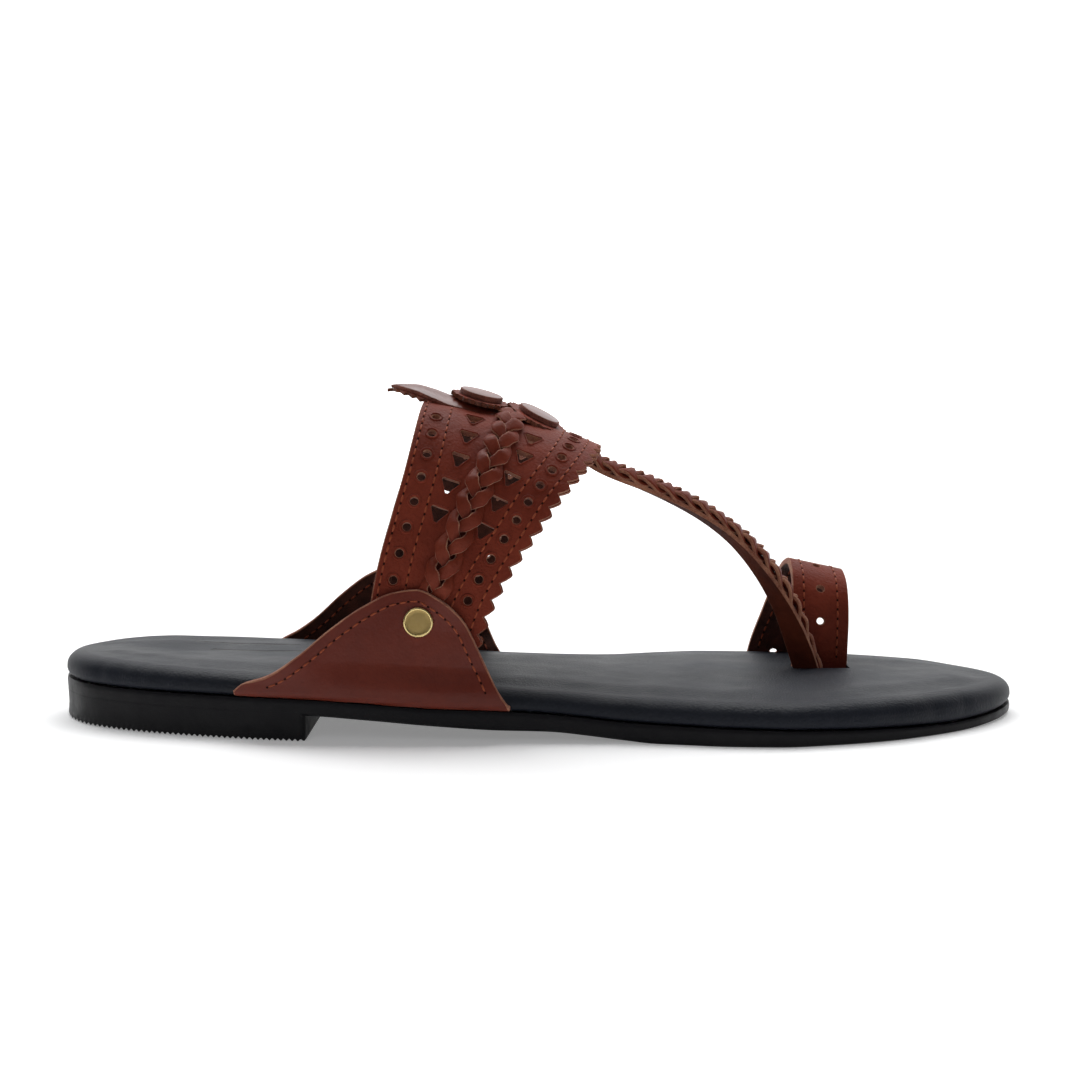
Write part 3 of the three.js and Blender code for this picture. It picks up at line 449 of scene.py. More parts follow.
def black_leather():
    made, tree, shader = surface("black_glazed_lining_leather", Specular_IOR_Level=0.2)
    place = add(tree, "ShaderNodeTexCoord").outputs["Object"]
    # Glazed grain: cells about 0.5 mm wide, broken up by 0.25 mm pores.
    cells = add(tree, "ShaderNodeTexVoronoi", {"Vector": place, "Scale": 1900.0},
                feature="SMOOTH_F1")
    pores = add(tree, "ShaderNodeTexNoise", {"Vector": place, "Scale": 2600.0, "Detail": 3.0})
    clouds = add(tree, "ShaderNodeTexNoise", {"Vector": place, "Scale": 38.0, "Detail": 4.0})
    tone = add(tree, "ShaderNodeMix", {0: clouds.outputs["Fac"], 6: colour("#11141A"),
                                       7: colour("#1A1E28")}, data_type="RGBA")
    pressed = add(tree, "ShaderNodeMath", {0: pressed_line(tree, place, *HEEL_LINES[0]),
                                           1: pressed_line(tree, place, *HEEL_LINES[1])},
                  operation="MAXIMUM")
    # The pressed lines are coloured near-black, darker than the cover beside them.
    darkened_pressed_lines = add(tree, "ShaderNodeMix", {0: pressed.outputs[0], 6: tone.outputs[2],
                                        7: colour("#050506")}, data_type="RGBA")
    tree.links.new(darkened_pressed_lines.outputs[2], shader.inputs["Base Color"])
    gloss = add(tree, "ShaderNodeMapRange", {"Value": clouds.outputs["Fac"], 1: 0.3, 2: 0.7,
                                             3: 0.48, 4: 0.6})
    tree.links.new(gloss.outputs[0], shader.inputs["Roughness"])
    fine = add(tree, "ShaderNodeBump", {"Height": pores.outputs["Fac"], "Strength": 0.35,
                                        "Distance": 0.0003})
    grain = add(tree, "ShaderNodeBump", {"Height": cells.outputs["Distance"],
                                         "Strength": 0.4, "Distance": 0.0003,
                                         "Normal": fine.outputs[0]})
    sunk = add(tree, "ShaderNodeBump", {"Height": pressed.outputs[0], "Strength": 1.0,
                                        "Distance": 0.0005, "Normal": grain.outputs[0]},
               invert=True)
    tree.links.new(sunk.outputs[0], shader.inputs["Normal"])
    return made


BLACK_LEATHER = black_leather()

# %% The pad, its puckers and the slot for the straps
PAD_STEPS, PAD_ROWS = 340, 36
# Gathers along the edge: station, how deep, half width, and 0 little-toe or 1 big-toe side.
PUCKERS = table(
    "x depth width side",
    (-112, 0.22, 1.6, 0), (-106, 0.3, 2.2, 0), (-100.5, 0.2, 1.5, 0), (-95, 0.34, 2.4, 0),
    (-89, 0.18, 1.6, 0), (-84, 0.3, 2.0, 0), (-77.5, 0.26, 2.2, 0), (-3, 0.2, 2.6, 0),
    (22, 0.22, 2.4, 0), (33, 0.3, 2.0, 0), (39, 0.42, 1.8, 0), (44, 0.3, 1.5, 0),
    (48.5, 0.5, 2.2, 0), (54, 0.32, 1.6, 0), (58.5, 0.55, 2.0, 0), (64, 0.3, 1.7, 0),
    (68, 0.44, 2.2, 0), (74, 0.3, 1.8, 0), (80, 0.34, 2.2, 0), (90, 0.26, 2.6, 0),
    (101, 0.28, 2.2, 0), (110, 0.2, 1.8, 0), (-108, 0.3, 2.2, 1), (-96, 0.24, 2.0, 1),
    (-20, 0.2, 3.0, 1), (34, 0.3, 2.4, 1), (47, 0.36, 2.2, 1), (55, 0.3, 1.8, 1),
    (86, 0.34, 2.4, 1), (97, 0.26, 2.0, 1), (108, 0.3, 2.0, 1),
)
# Long soft hollows that a foot and the last leave in the top: middle, reach, depth.
HOLLOWS = table(
    "x y reach_x reach_y depth",
    (-88, 2, 26, 18, 1.6), (52, -16, 34, 14, 0.4), (60, 20, 26, 12, 0.3),
    (104, 8, 13, 11, 0.35), (-30, -14, 30, 12, -0.25), (10, 4, 26, 16, -0.2),
)
SLOT = dict(x0=70.0, x1=85.2, y0=2.4, y1=10.0)
SLOT_DROPS = (0.5, 3.6)  # the cover's turned rim, and the wall of the slot below it
FACES_UP = 0.9  # a face counts as part of the top when its normal is at least this upright


def seat(x):
    return sole_z(x, "seam") + GAP / 2


def puckers(x, side):
    pulled = np.zeros_like(x)
    for row in PUCKERS:
        lean = (x - row["x"]) / row["width"]
        pulled += row["depth"] * np.exp(-lean * lean) * (side == row["side"])
    return pulled


def hollows(x, y):
    sunk = np.zeros_like(x)
    for row in HOLLOWS:
        away = ((x - row["x"]) / row["reach_x"]) ** 2 + ((y - row["y"]) / row["reach_y"]) ** 2
        sunk += row["depth"] * np.exp(-away)
    return sunk


def ripple(x, y):
    """A slight, uneven waviness of the cover over the foam."""
    near = np.array([noise_at(a, b) for a, b in zip(x, y)])
    return 0.14 * near


def noise_at(x, y):
    return noise.noise(Vector((x / 9, y / 6, 2.7))) + 0.5 * noise.noise(Vector((x / 3.6, y / 3, 8)))


def pad_wall(s, share):
    q = 2 * s
    x = plan_point(q)[..., 0]
    pulled = puckers(x, (q > 1).astype(int)) * np.sin(np.clip(share, 0.05, 1) * math.pi) ** 0.7
    flat = plan_inset(q, read(INSOLE_EDGE, "share", "inset", share) + pulled)
    height = lerp(seat(x), insole_top(x), share)
    return join3(flat[..., 0], flat[..., 1], height - 0.35 * pulled * share)


def pad_top(s, t):
    points = layer_face(INSOLE_EDGE, 1, insole_top, s, t)
    x, y = points[:, 0], points[:, 1]
    near, far = (layer_face(INSOLE_EDGE, 1, insole_top, s, 0 * t + end) for end in (0, 1))
    away = np.minimum(t, 1 - t) * np.linalg.norm(far - near, axis=1)
    away = np.minimum(away, np.minimum(x - x.min(), x.max() - x))
    inside = soften(0, 7, away)
    side = (t > 0.5).astype(int)
    crown = 1.1 * soften(0, 12, away)
    points[:, 2] += inside * (ripple(x, y) - hollows(x, y)) + crown
    points[:, 2] -= puckers(x, side) * 0.6 * (1 - soften(0, 5, away)) * soften(0, 0.6, away)
    return points


def cut_slot(bm):
    """Cuts the cover round the slot, drops the middle, and turns the rim down into it."""
    for axis, at in ((0, SLOT["x0"]), (0, SLOT["x1"]), (1, SLOT["y0"]), (1, SLOT["y1"])):
        near = [f for f in bm.faces if f.normal.z > FACES_UP and in_slot(f, 4)]
        geom = list({g for f in near for g in (f, *f.verts, *f.edges)})
        where, normal = Vector((0, 0, 0)), Vector((0, 0, 0))
        where[axis], normal[axis] = (at + HOME[axis]) * MM, 1
        bmesh.ops.bisect_plane(bm, geom=geom, plane_co=where, plane_no=normal, dist=1e-6)
    inside = [f for f in bm.faces if f.normal.z > FACES_UP and in_slot(f, 0)]
    bmesh.ops.delete(bm, geom=inside, context="FACES")
    rim = [e for e in bm.edges if e.is_boundary]
    for drop in SLOT_DROPS:
        turned = bmesh.ops.extrude_edge_only(bm, edges=rim)["geom"]
        moved = [g for g in turned if isinstance(g, bmesh.types.BMVert)]
        bmesh.ops.translate(bm, vec=(0, 0, -drop * MM), verts=moved)
        rim = [g for g in turned if isinstance(g, bmesh.types.BMEdge)]
    bmesh.ops.holes_fill(bm, edges=[e for e in rim if e.is_boundary], sides=0)


def in_slot(face, spare):
    x, y, _ = np.array(face.calc_center_median()) / MM - HOME
    return (SLOT["x0"] - spare < x < SLOT["x1"] + spare
            and SLOT["y0"] - spare < y < SLOT["y1"] + spare)


def make_insole():
    bm = bmesh.new()
    skin(bm, 2 * PAD_STEPS, 14, pad_wall)
    skin(bm, PAD_STEPS, PAD_ROWS, pad_top)
    skin(bm, PAD_STEPS, 4, lambda s, t: layer_face(INSOLE_EDGE, 0, seat, s, t))
    return bm


def weld_top(bm):
    """The wall meets the top a hair apart where a pucker pulls it, so the rims are joined."""
    bmesh.ops.remove_doubles(bm, verts=bm.verts[:], dist=1e-6)
    loose = [v for v in bm.verts if v.is_boundary]
    bmesh.ops.remove_doubles(bm, verts=loose, dist=0.5 * MM)
    bmesh.ops.recalc_face_normals(bm, faces=bm.faces[:])


insole_mesh = make_insole()
weld_top(insole_mesh)
cut_slot(insole_mesh)
insole = finish_mesh(insole_mesh, "padded_insole", [BLACK_LEATHER], sharp=50)
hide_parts("insole")

# %% [markdown]
# ## Cutting leather flat, then bending it
# Every strap starts as a sandal maker starts it: a flat blank is cut from the hide with its
# holes punched and its edge pinked, and only then bent over the last. A flat curve gives
# the blank, because it fills an outline with any number of holes and rounds the cut edge.
# The blank is then scored into small squares so that it can bend, and each point is
# carried to the surface of the last. Grain side, cut edge and flesh side are told apart
# while the blank is still flat.

# %% The three faces of a cut leather
GRAIN, CUT_EDGE, FLESH = 0, 1, 2


def cut_blank(outline, holes=(), *, wall, rounding=0.12):
    """A flat blank from closed outlines in millimetres, grain side up at z = 0."""
    curve = bpy.data.curves.new("blank", "CURVE")
    curve.dimensions, curve.fill_mode = "2D", "BOTH"
    for loop in (outline, *holes):
        spline = curve.splines.new("POLY")
        spline.points.add(len(loop) - 1)
        for point, (x, y) in zip(spline.points, loop):
            point.co = (x, y, 0, 1)
        spline.use_cyclic_u = True
    curve.extrude = wall / 2 - rounding
    curve.bevel_depth, curve.bevel_resolution, curve.offset = rounding, 1, -rounding
    flat = bpy.data.objects.new("blank", curve)
    scene.collection.objects.link(flat)
    bpy.context.view_layer.update()
    filled = flat.evaluated_get(bpy.context.evaluated_depsgraph_get())
    mesh = bpy.data.meshes.new_from_object(filled)
    bm = bmesh.new()
    bm.from_mesh(mesh)
    bpy.data.objects.remove(flat)
    bpy.data.curves.remove(curve)
    bpy.data.meshes.remove(mesh)
    bmesh.ops.remove_doubles(bm, verts=bm.verts[:], dist=1e-4)
    bmesh.ops.dissolve_degenerate(bm, edges=bm.edges[:], dist=1e-4)
    bmesh.ops.recalc_face_normals(bm, faces=bm.faces[:])
    bmesh.ops.translate(bm, vec=(0, 0, -wall / 2), verts=bm.verts[:])
    return bm


def score(bm, step_x, step_y):
    """Cuts a flat blank along a grid of straight lines."""
    for axis, step in ((0, step_x), (1, step_y)):
        places = [vert.co[axis] for vert in bm.verts]
        low, high = min(places), max(places)
        count = max(1, round((high - low) / step))
        normal = Vector((0, 0, 0))
        normal[axis] = 1
        for k in range(1, count):
            where = normal * (low + (high - low) * k / count)
            bmesh.ops.bisect_plane(bm, geom=bm.verts[:] + bm.edges[:] + bm.faces[:],
                                   plane_co=where, plane_no=normal, dist=1e-3)
    bmesh.ops.triangulate(bm, faces=[f for f in bm.faces if len(f.verts) > 4])


def name_faces(bm):
    """Material by the side of the blank, and a map of its flat millimetres."""
    chart = bm.loops.layers.uv.new("flat_mm")
    for face in bm.faces:
        up = face.normal.z
        face.material_index = GRAIN if up > 0.97 else FLESH if up < -0.97 else CUT_EDGE
        for loop in face.loops:
            loop[chart].uv = loop.vert.co.xy / 100


def carry(bm, place):
    """Moves every point of a blank to place(flat points), both in millimetres."""
    flat = np.array([vert.co for vert in bm.verts])
    for vert, point in zip(bm.verts, (place(flat) + HOME) * MM):
        vert.co = point


def over(face_at, along, across, outward):
    """Lays a blank on a surface: along and across are the flat lengths of its 0 to 1."""
    def place(flat):
        u, v = flat[:, 0] / along, flat[:, 1] / across
        return face_at(u, v) + normals(face_at, u, v) * outward * flat[:, 2:3]
    return place


def normals(face_at, u, v):
    step = 2e-3
    cross = np.cross(face_at(u + step, v) - face_at(u - step, v),
                     face_at(u, v + step) - face_at(u, v - step))
    return cross / np.linalg.norm(cross, axis=1, keepdims=True)


CREASE = 20  # degrees: a bent blank stays crisp along edges sharper than this


def bend_piece(name, bm, place, materials, squares):
    score(bm, *squares)
    name_faces(bm)
    carry(bm, place)
    return finish_mesh(bm, name, materials, sharp=CREASE, weld=0)


def around(radius, count, centre=(0, 0)):
    return [(centre[0] + radius * math.cos(2 * math.pi * k / count),
             centre[1] + radius * math.sin(2 * math.pi * k / count)) for k in range(count)]


# %% [markdown]
# ## Brown leather
# The straps are vegetable-tanned buffalo leather, dyed red-brown on its grain side and
# lightly glazed. The glaze gives a soft, wide highlight that goes pale where light grazes
# it. The dye doesn't go through, so cut edges are paler, and the flesh side is a napped,
# rusty brown with no shine.

# %% Grain side
def grain_leather(name, dark, light, gloss=(0.5, 0.66), depth=1.7, shine=0.11):
    made, tree, shader = surface(name, Specular_IOR_Level=shine)
    place = add(tree, "ShaderNodeTexCoord").outputs["Object"]
    # Buffalo grain: pebbles near 0.6 mm, hair pores of 0.2 mm, and clouds of dye 12 mm wide.
    warp = add(tree, "ShaderNodeTexNoise", {"Vector": place, "Scale": 420.0, "Detail": 2.0})
    moved = add(tree, "ShaderNodeMix", {0: 0.0012, 4: place, 5: warp.outputs["Color"]},
                data_type="VECTOR")
    pebbles = add(tree, "ShaderNodeTexVoronoi", {"Vector": moved.outputs[1], "Scale": 1500.0},
                  feature="SMOOTH_F1")
    pores = add(tree, "ShaderNodeTexNoise", {"Vector": place, "Scale": 3800.0, "Detail": 2.0})
    clouds = add(tree, "ShaderNodeTexNoise", {"Vector": place, "Scale": 85.0, "Detail": 5.0,
                                              "Roughness": 0.6})
    shade = add(tree, "ShaderNodeMapRange", {"Value": clouds.outputs["Fac"], 1: 0.32, 2: 0.68})
    tone = add(tree, "ShaderNodeMix", {0: shade.outputs[0], 6: colour(dark), 7: colour(light)},
               data_type="RGBA")
    pit = add(tree, "ShaderNodeMapRange", {"Value": pores.outputs["Fac"], 1: 0.28, 2: 0.42,
                                           3: 0.8, 4: 1.0})
    dyed = add(tree, "ShaderNodeVectorMath", {0: tone.outputs[2], 1: pit.outputs[0]},
               operation="MULTIPLY")
    tree.links.new(dyed.outputs[0], shader.inputs["Base Color"])
    sheen = add(tree, "ShaderNodeMapRange", {"Value": clouds.outputs["Fac"], 1: 0.3, 2: 0.7,
                                             3: gloss[0], 4: gloss[1]})
    tree.links.new(sheen.outputs[0], shader.inputs["Roughness"])
    fine = add(tree, "ShaderNodeBump", {"Height": pores.outputs["Fac"], "Distance": 0.00012,
                                        "Strength": 0.3 * depth})
    cobble = add(tree, "ShaderNodeBump", {"Height": pebbles.outputs["Distance"],
                                          "Distance": 0.00022, "Strength": 0.4 * depth,
                                          "Normal": fine.outputs[0]})
    soft = add(tree, "ShaderNodeBump", {"Height": clouds.outputs["Fac"], "Distance": 0.0009,
                                        "Strength": 0.35, "Normal": cobble.outputs[0]})
    tree.links.new(soft.outputs[0], shader.inputs["Normal"])
    return made


# %% Cut edge and flesh side
def napped_leather(name, dark, light, fibre=0.00035, depth=0.0004):
    made, tree, shader = surface(name, Roughness=0.85, Specular_IOR_Level=0.25,
                                 Sheen_Weight=0.12, Sheen_Roughness=0.5)
    place = add(tree, "ShaderNodeTexCoord").outputs["Object"]
    # Fibres a third of a millimetre apart, and a slow change of tone every 5 mm.
    nap = add(tree, "ShaderNodeTexNoise", {"Vector": place, "Scale": 1 / fibre, "Detail": 4.0,
                                           "Roughness": 0.7})
    slow = add(tree, "ShaderNodeTexNoise", {"Vector": place, "Scale": 200.0, "Detail": 2.0})
    both = add(tree, "ShaderNodeMix", {0: 0.45, 2: nap.outputs["Fac"], 3: slow.outputs["Fac"]})
    level = add(tree, "ShaderNodeMapRange", {"Value": both.outputs[0], 1: 0.36, 2: 0.62})
    tone = add(tree, "ShaderNodeMix", {0: level.outputs[0], 6: colour(dark), 7: colour(light)},
               data_type="RGBA")
    tree.links.new(tone.outputs[2], shader.inputs["Base Color"])
    rough = add(tree, "ShaderNodeBump", {"Height": nap.outputs["Fac"], "Distance": depth,
                                         "Strength": 0.7})
    tree.links.new(rough.outputs[0], shader.inputs["Normal"])
    return made


BROWN_GRAIN = grain_leather("red_brown_buffalo_leather", "#662617", "#7E3524")
BROWN_EDGE = napped_leather("cut_edge_of_leather", "#7A4030", "#B07A5E", fibre=0.0003)
BROWN_FLESH = napped_leather("flesh_side_of_leather", "#24100A", "#5E3022")
LEATHER = [BROWN_GRAIN, BROWN_EDGE, BROWN_FLESH]
print("leathers:", [made.name for made in LEATHER])

# %% [markdown]
# ## The instep band
# The band is two leathers stitched together. The upper one is punched with two rows of
# round holes and two columns of triangles; the lower one is wider at the front, where its
# edge is cut with pinking shears. It lies on an arch that stands for the instep, so the
# arch is written as a rounded hoop whose height and half widths change along the foot.

# %% The instep arch
ARCH_BASE, ARCH_POWER = 12, 2.4
ARCH = table(
    "x crown mid outer inner",
    (-75, 88, -4, 34, 30.6), (-45, 86.6, -4, 33.8, 29.4), (-29, 84.2, -3.4, 34, 28.6),
    (-8, 80, -2.6, 35, 28.8), (8, 75.6, -1.6, 36.4, 31), (18.5, 71.4, -1, 37.6, 33.4),
    (30, 66, 0, 39, 36),
)
BAND_EDGES = table(
    "lift rear front",
    (0, -42, -19), (0.12, -41.6, -16), (0.3, -40.5, -11.8), (0.45, -38.4, -6.6),
    (0.6, -35.5, -0.4), (0.75, -32.6, 5.6), (0.88, -30.6, 11.4), (1, -29, 16.2),
)
BAND_LOW_LIFT = 0.15


def arch_point(x, turn):
    power = 2 / ARCH_POWER
    cos, sin = np.cos(turn), np.maximum(0, np.sin(turn))
    half = np.where(cos > 0, read(ARCH, "x", "outer", x), read(ARCH, "x", "inner", x))
    y = read(ARCH, "x", "mid", x) - np.sign(cos) * half * np.abs(cos) ** power
    return join3(x, y, ARCH_BASE + (read(ARCH, "x", "crown", x) - ARCH_BASE) * sin**power)


def arch_y(x, z, side):
    lift = np.clip((z - ARCH_BASE) / (read(ARCH, "x", "crown", x) - ARCH_BASE), 0, 1)
    half = read(ARCH, "x", "outer" if side < 0 else "inner", x)
    return read(ARCH, "x", "mid", x) + side * half * (1 - lift**ARCH_POWER) ** (1 / ARCH_POWER)


LOW_TURN = math.asin(BAND_LOW_LIFT ** (ARCH_POWER / 2))
ARC_TURNS = np.linspace(LOW_TURN, math.pi - LOW_TURN, 601)
arc = arch_point(np.full(601, -8.0), ARC_TURNS)
ARC_RUN = np.concatenate([[0], np.cumsum(np.linalg.norm(np.diff(arc, axis=0), axis=1))])
BAND_LENGTH = float(ARC_RUN[-1])
print("the band is", round(BAND_LENGTH), "mm from side to side")


def band_surface(u, v):
    """u from the outer to the inner end, v from the rear edge to the front one."""
    u, v = np.broadcast_arrays(np.asarray(u, float), np.asarray(v, float))
    run = u * BAND_LENGTH
    turn = np.interp(run, ARC_RUN, ARC_TURNS)
    lift = np.maximum(0, np.sin(turn)) ** (2 / ARCH_POWER)
    x = lerp(read(BAND_EDGES, "lift", "rear", lift), read(BAND_EDGES, "lift", "front", lift), v)
    return arch_point(x, turn)


def frame_on(face_at, u, v, outward):
    """Point, and unit steps up the strap, across it and out of it, at each place."""
    u, v = np.atleast_1d(np.asarray(u, float)), np.atleast_1d(np.asarray(v, float))
    step = 2e-3
    up = face_at(u + step, v) - face_at(u - step, v)
    up = up / np.linalg.norm(up, axis=1, keepdims=True)
    out = normals(face_at, u, v) * outward
    return face_at(u, v), up, np.cross(out, up), out


def flat_step(face_at, u, v, outward):
    """How far u and v move for one millimetre up the strap and one across it."""
    step = 1e-3
    _, up, across, _ = (g[0] for g in frame_on(face_at, u, v, outward))
    du = (face_at(u + step, v) - face_at(u - step, v)).reshape(3) / (2 * step)
    dv = (face_at(u, v + step) - face_at(u, v - step)).reshape(3) / (2 * step)
    steps = np.array([[du @ up, dv @ up], [du @ across, dv @ across]])
    return np.linalg.inv(steps)


# %% Layout of the punching
BAND_ACROSS = 40.0  # flat width that stands for the whole band
BAND_WALL, LAYER = 1.8, 0.9
# Lines along the band, in millimetres from its rear edge, or below zero from its front one.
SEAMS = (1.5, 8.0, -8.9, -2.2)
HOLE_ROWS = table("line first pitch", (4.6, 13.0, 6.3), (-5.6, 2.2, 5.33))
ROUND_HOLE = 1.05
CUTOUT_ROWS = table("share first pitch far", (0.315, 11.2, 7.4, -0.3), (0.668, 14.4, 7.3, 0.7))
CUTOUT_WIDE, CUTOUT_DEEP, CUTOUTS = 5.1, 4.4, 5
TOOTH_PITCH, TOOTH_DEPTH = 4.25, 1.75


def band_width(u):
    return np.linalg.norm(band_surface(u, 1.0) - band_surface(u, 0.0), axis=-1)


def share_of(line, u):
    """The share of the width at which a line given in millimetres runs."""
    return line / band_width(u) if line >= 0 else 1 + line / band_width(u)


def punched(shape, u, v):
    """A hole of true size at a place on the band, drawn on the flat blank."""
    to_flat = flat_step(band_surface, u, v, -1)
    loop = []
    for p, q in shape:
        du, dv = to_flat @ np.array([p, q])
        loop.append(((u + du) * BAND_LENGTH, (v + dv) * BAND_ACROSS))
    return loop


def triangle(grow, toward, corner=0.4):
    """A triangular punch with slightly blunt corners, point down the strap."""
    wide, deep = CUTOUT_WIDE / 2 + grow, CUTOUT_DEEP + 1.6 * grow
    tips = [(0.42 * deep, -wide), (0.42 * deep, wide), (-0.58 * deep, 0)]
    loop = []
    for k, (p, q) in enumerate(tips):
        for other in (tips[k - 1], tips[(k + 1) % 3]):
            reach = math.hypot(other[0] - p, other[1] - q)
            loop.append((toward * (p + (other[0] - p) * corner / reach),
                         q + (other[1] - q) * corner / reach))
    return loop


def hole_places():
    """Round holes march out from the crown on both sides of it, down to the flaps."""
    reach = BAND_LENGTH / 2 - 6
    for row in HOLE_ROWS:
        for side in (-1, 1):
            for k in range(int((reach - row["first"]) / row["pitch"]) + 1):
                u = 0.5 + side * (row["first"] + k * row["pitch"]) / BAND_LENGTH
                yield u, share_of(row["line"], u)


def cutout_places():
    for row in CUTOUT_ROWS:
        for side in (-1, 1):
            # The far side is a little out of step, so few holes line up across the foot.
            far = row["far"] if side > 0 else 0
            for k in range(CUTOUTS):
                run = row["first"] + far + k * row["pitch"]
                yield 0.5 + side * run / BAND_LENGTH, row["share"], -side


def band_holes(grow):
    holes = [punched(around(ROUND_HOLE + grow, 16), u, v) for u, v in hole_places()]
    for u, v, toward in cutout_places():
        holes.append(punched(triangle(grow, toward), u, v))
    return holes


def band_outline(rear, front):
    """The blank's edge, with pinking teeth along the front."""
    count = round(BAND_LENGTH / TOOTH_PITCH)
    # Shears leave a round tooth and a sharp notch: place, and share of the depth.
    tooth = table("at out", (0, 0), (0.18, 0.52), (0.4, 0.95), (0.54, 1), (0.8, 0.5))
    loop = [(0.0, share_of(rear, 0.0) * BAND_ACROSS)]
    for k in range(count):
        for step in tooth:
            u = (k + step["at"]) / count
            edge = share_of(front, u) if front else 1.0
            depth = TOOTH_DEPTH * step["out"] / band_width(u)
            loop.append((u * BAND_LENGTH, (edge + depth) * BAND_ACROSS))
    loop += [(BAND_LENGTH, BAND_ACROSS), (BAND_LENGTH, share_of(rear, 1.0) * BAND_ACROSS)]
    back = np.linspace(1, 0, 60)[1:-1]
    return loop + [(u * BAND_LENGTH, float(share_of(rear, u)) * BAND_ACROSS) for u in back]


# %% Cutting and bending the two leathers
def make_band(name, wall, rear, front, drop, grow):
    bm = cut_blank(band_outline(rear, front), band_holes(grow), wall=wall)
    bmesh.ops.translate(bm, vec=(0, 0, -drop), verts=bm.verts[:])
    return bend_piece(name, bm, over(band_surface, BAND_LENGTH, BAND_ACROSS, -1), LEATHER,
                      (2.0, 2.2))


band_top = make_band("band_punched_leather", LAYER - 0.04, 0.25, -0.35, 0, 0)
band_back = make_band("band_pinked_leather", LAYER, 0, 0, LAYER, 0.12)
for piece in (band_top, band_back):
    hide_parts("upper")

# %% [markdown]
# The punches are hollow and a little blunt, so each hole stands in a raised lip. The lips
# are low beads that follow each hole, sunk halfway into the leather.

# %% Raised lips round the holes
def lip(bm, shape, u, v, wide=0.6, high=0.26):
    at, up, across, out = (g[0] for g in frame_on(band_surface, u, v, -1))
    loop = np.array([*shape, shape[0]])
    parts = len(shape) * (1 if len(shape) > 8 else 3)
    marks = np.linspace(0, 1, len(loop))

    def place(s, t):
        p, q = (np.interp(s, marks, loop[:, k]) for k in (0, 1))
        reach = np.hypot(p, q)
        turn = 2 * math.pi * t
        grow = 1 + 0.5 * wide * np.cos(turn) / reach
        height = high * np.sin(turn)
        return at + up * (p * grow)[:, None] + across * (q * grow)[:, None] + out * height[:, None]

    skin(bm, parts, 6, place)


def make_lips():
    bm = bmesh.new()
    for u, v in hole_places():
        lip(bm, around(ROUND_HOLE + 0.5, 20), u, v)
    for u, v, toward in cutout_places():
        lip(bm, triangle(0.42, toward, 0.8), u, v, 0.5, 0.2)
    return finish_mesh(bm, "band_punch_lips", [BROWN_GRAIN], weld=1e-7)


lips = make_lips()

# %% [markdown]
# ## Side flaps
# Two ear-shaped flaps carry the band. Each is one smooth leather that comes up out of the
# seam between insole and outsole, hugs the side of the foot and is stitched and riveted
# over the end of the band. Its blank is drawn as it is seen from the side, its lower edge
# is folded in under the insole, and it swells a little where the plait runs in behind it.

# %% Flap patterns
FLAP_WALL, TUCK, FOLD = 1.5, 6.0, 0.4
FLAPS = {
    -1: table(
        "x top",
        (-74.5, 12.6), (-72, 14.6), (-66, 16.8), (-58.5, 21.6), (-50, 28.6), (-42, 34),
        (-35, 37.2), (-29, 38), (-23.6, 36), (-17.6, 30.5), (-12.8, 21), (-9.4, 13.6),
        (-6, 8.6),
    ),
    1: table(
        "x top",
        (-76, 12.8), (-73, 15), (-68, 17.6), (-62, 22.2), (-55, 28.6), (-47, 34.4),
        (-38, 37.8), (-31, 38.4), (-25, 36.4), (-19.4, 30.6), (-14.4, 21), (-10.6, 13.6),
        (-7, 8.8),
    ),
}
PLAIT_SHARE = 0.51
FLAP_HEIGHT = 50.0  # height that the flat pattern covers
FLAP_BELOW = 5.0  # how far below the floor line the flat pattern starts


def flap_y(x, z, side):
    """Inner face of a flap: on the insole edge low down, on the instep arch higher up."""
    low = edge_y(x, "outer" if side < 0 else "inner") + side * GAP
    high = arch_y(x, z, side) + side * GAP
    return lerp(low, high, soften(insole_top(x) - 2, insole_top(x) + 5, z))


def fold_z(x, wall):
    return sole_z(x, "seam") + GAP / 2 + wall + FOLD


def flap_surface(side):
    x0, x1 = FLAPS[side][0]["x"], FLAPS[side][-1]["x"]
    bulge_x = -21.5 if side < 0 else -23.0

    def face_at(u, v):
        u, v = np.broadcast_arrays(np.asarray(u, float), np.asarray(v, float))
        x, height = lerp(x0, x1, u), v * FLAP_HEIGHT - FLAP_BELOW
        bend_z = fold_z(x, FLAP_WALL)
        below = np.maximum(0, bend_z - height)
        quarter = (FOLD + FLAP_WALL / 2) * math.pi / 2
        turn = np.minimum(below / quarter, 1) * math.pi / 2
        z = np.where(below > 0, bend_z - FOLD * np.sin(turn), height)
        inward = FOLD * (1 - np.cos(turn)) + np.maximum(0, below - quarter)
        swell = 1.5 * np.exp(-((x - bulge_x) / 5.5) ** 2) * soften(27, 37, height)
        y = flap_y(x, np.maximum(height, bend_z), side)
        return join3(x, y + side * (swell - inward), z)

    return face_at


def make_flap(name, side):
    rows = FLAPS[side]
    x0, x1 = rows[0]["x"], rows[-1]["x"]
    xs = np.linspace(x0, x1, 70)
    top = read(rows, "x", "top", xs) + FLAP_BELOW
    bottom = fold_z(xs, FLAP_WALL) - TUCK + FLAP_BELOW
    outline = [*zip(xs - x0, np.maximum(top, bottom + 4)), *zip(xs[::-1] - x0, bottom[::-1])]
    bm = cut_blank(outline, wall=FLAP_WALL, rounding=0.4)
    bmesh.ops.translate(bm, vec=(0, 0, FLAP_WALL), verts=bm.verts[:])
    place = over(flap_surface(side), x1 - x0, FLAP_HEIGHT, -side)
    return bend_piece(name, bm, place, [FLAP_GRAIN, BROWN_EDGE, BROWN_FLESH], (2.4, 1.0))


FLAP_GRAIN = grain_leather("glazed_buffalo_leather", "#5E2012", "#6A2717",
                           (0.36, 0.48), 0.45, 0.25)
flap_outer = make_flap("flap_little_toe_side", -1)
flap_inner = make_flap("flap_big_toe_side", 1)
for piece, node in ((flap_outer, "flap_outer"), (flap_inner, "flap_inner")):
    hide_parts(node)

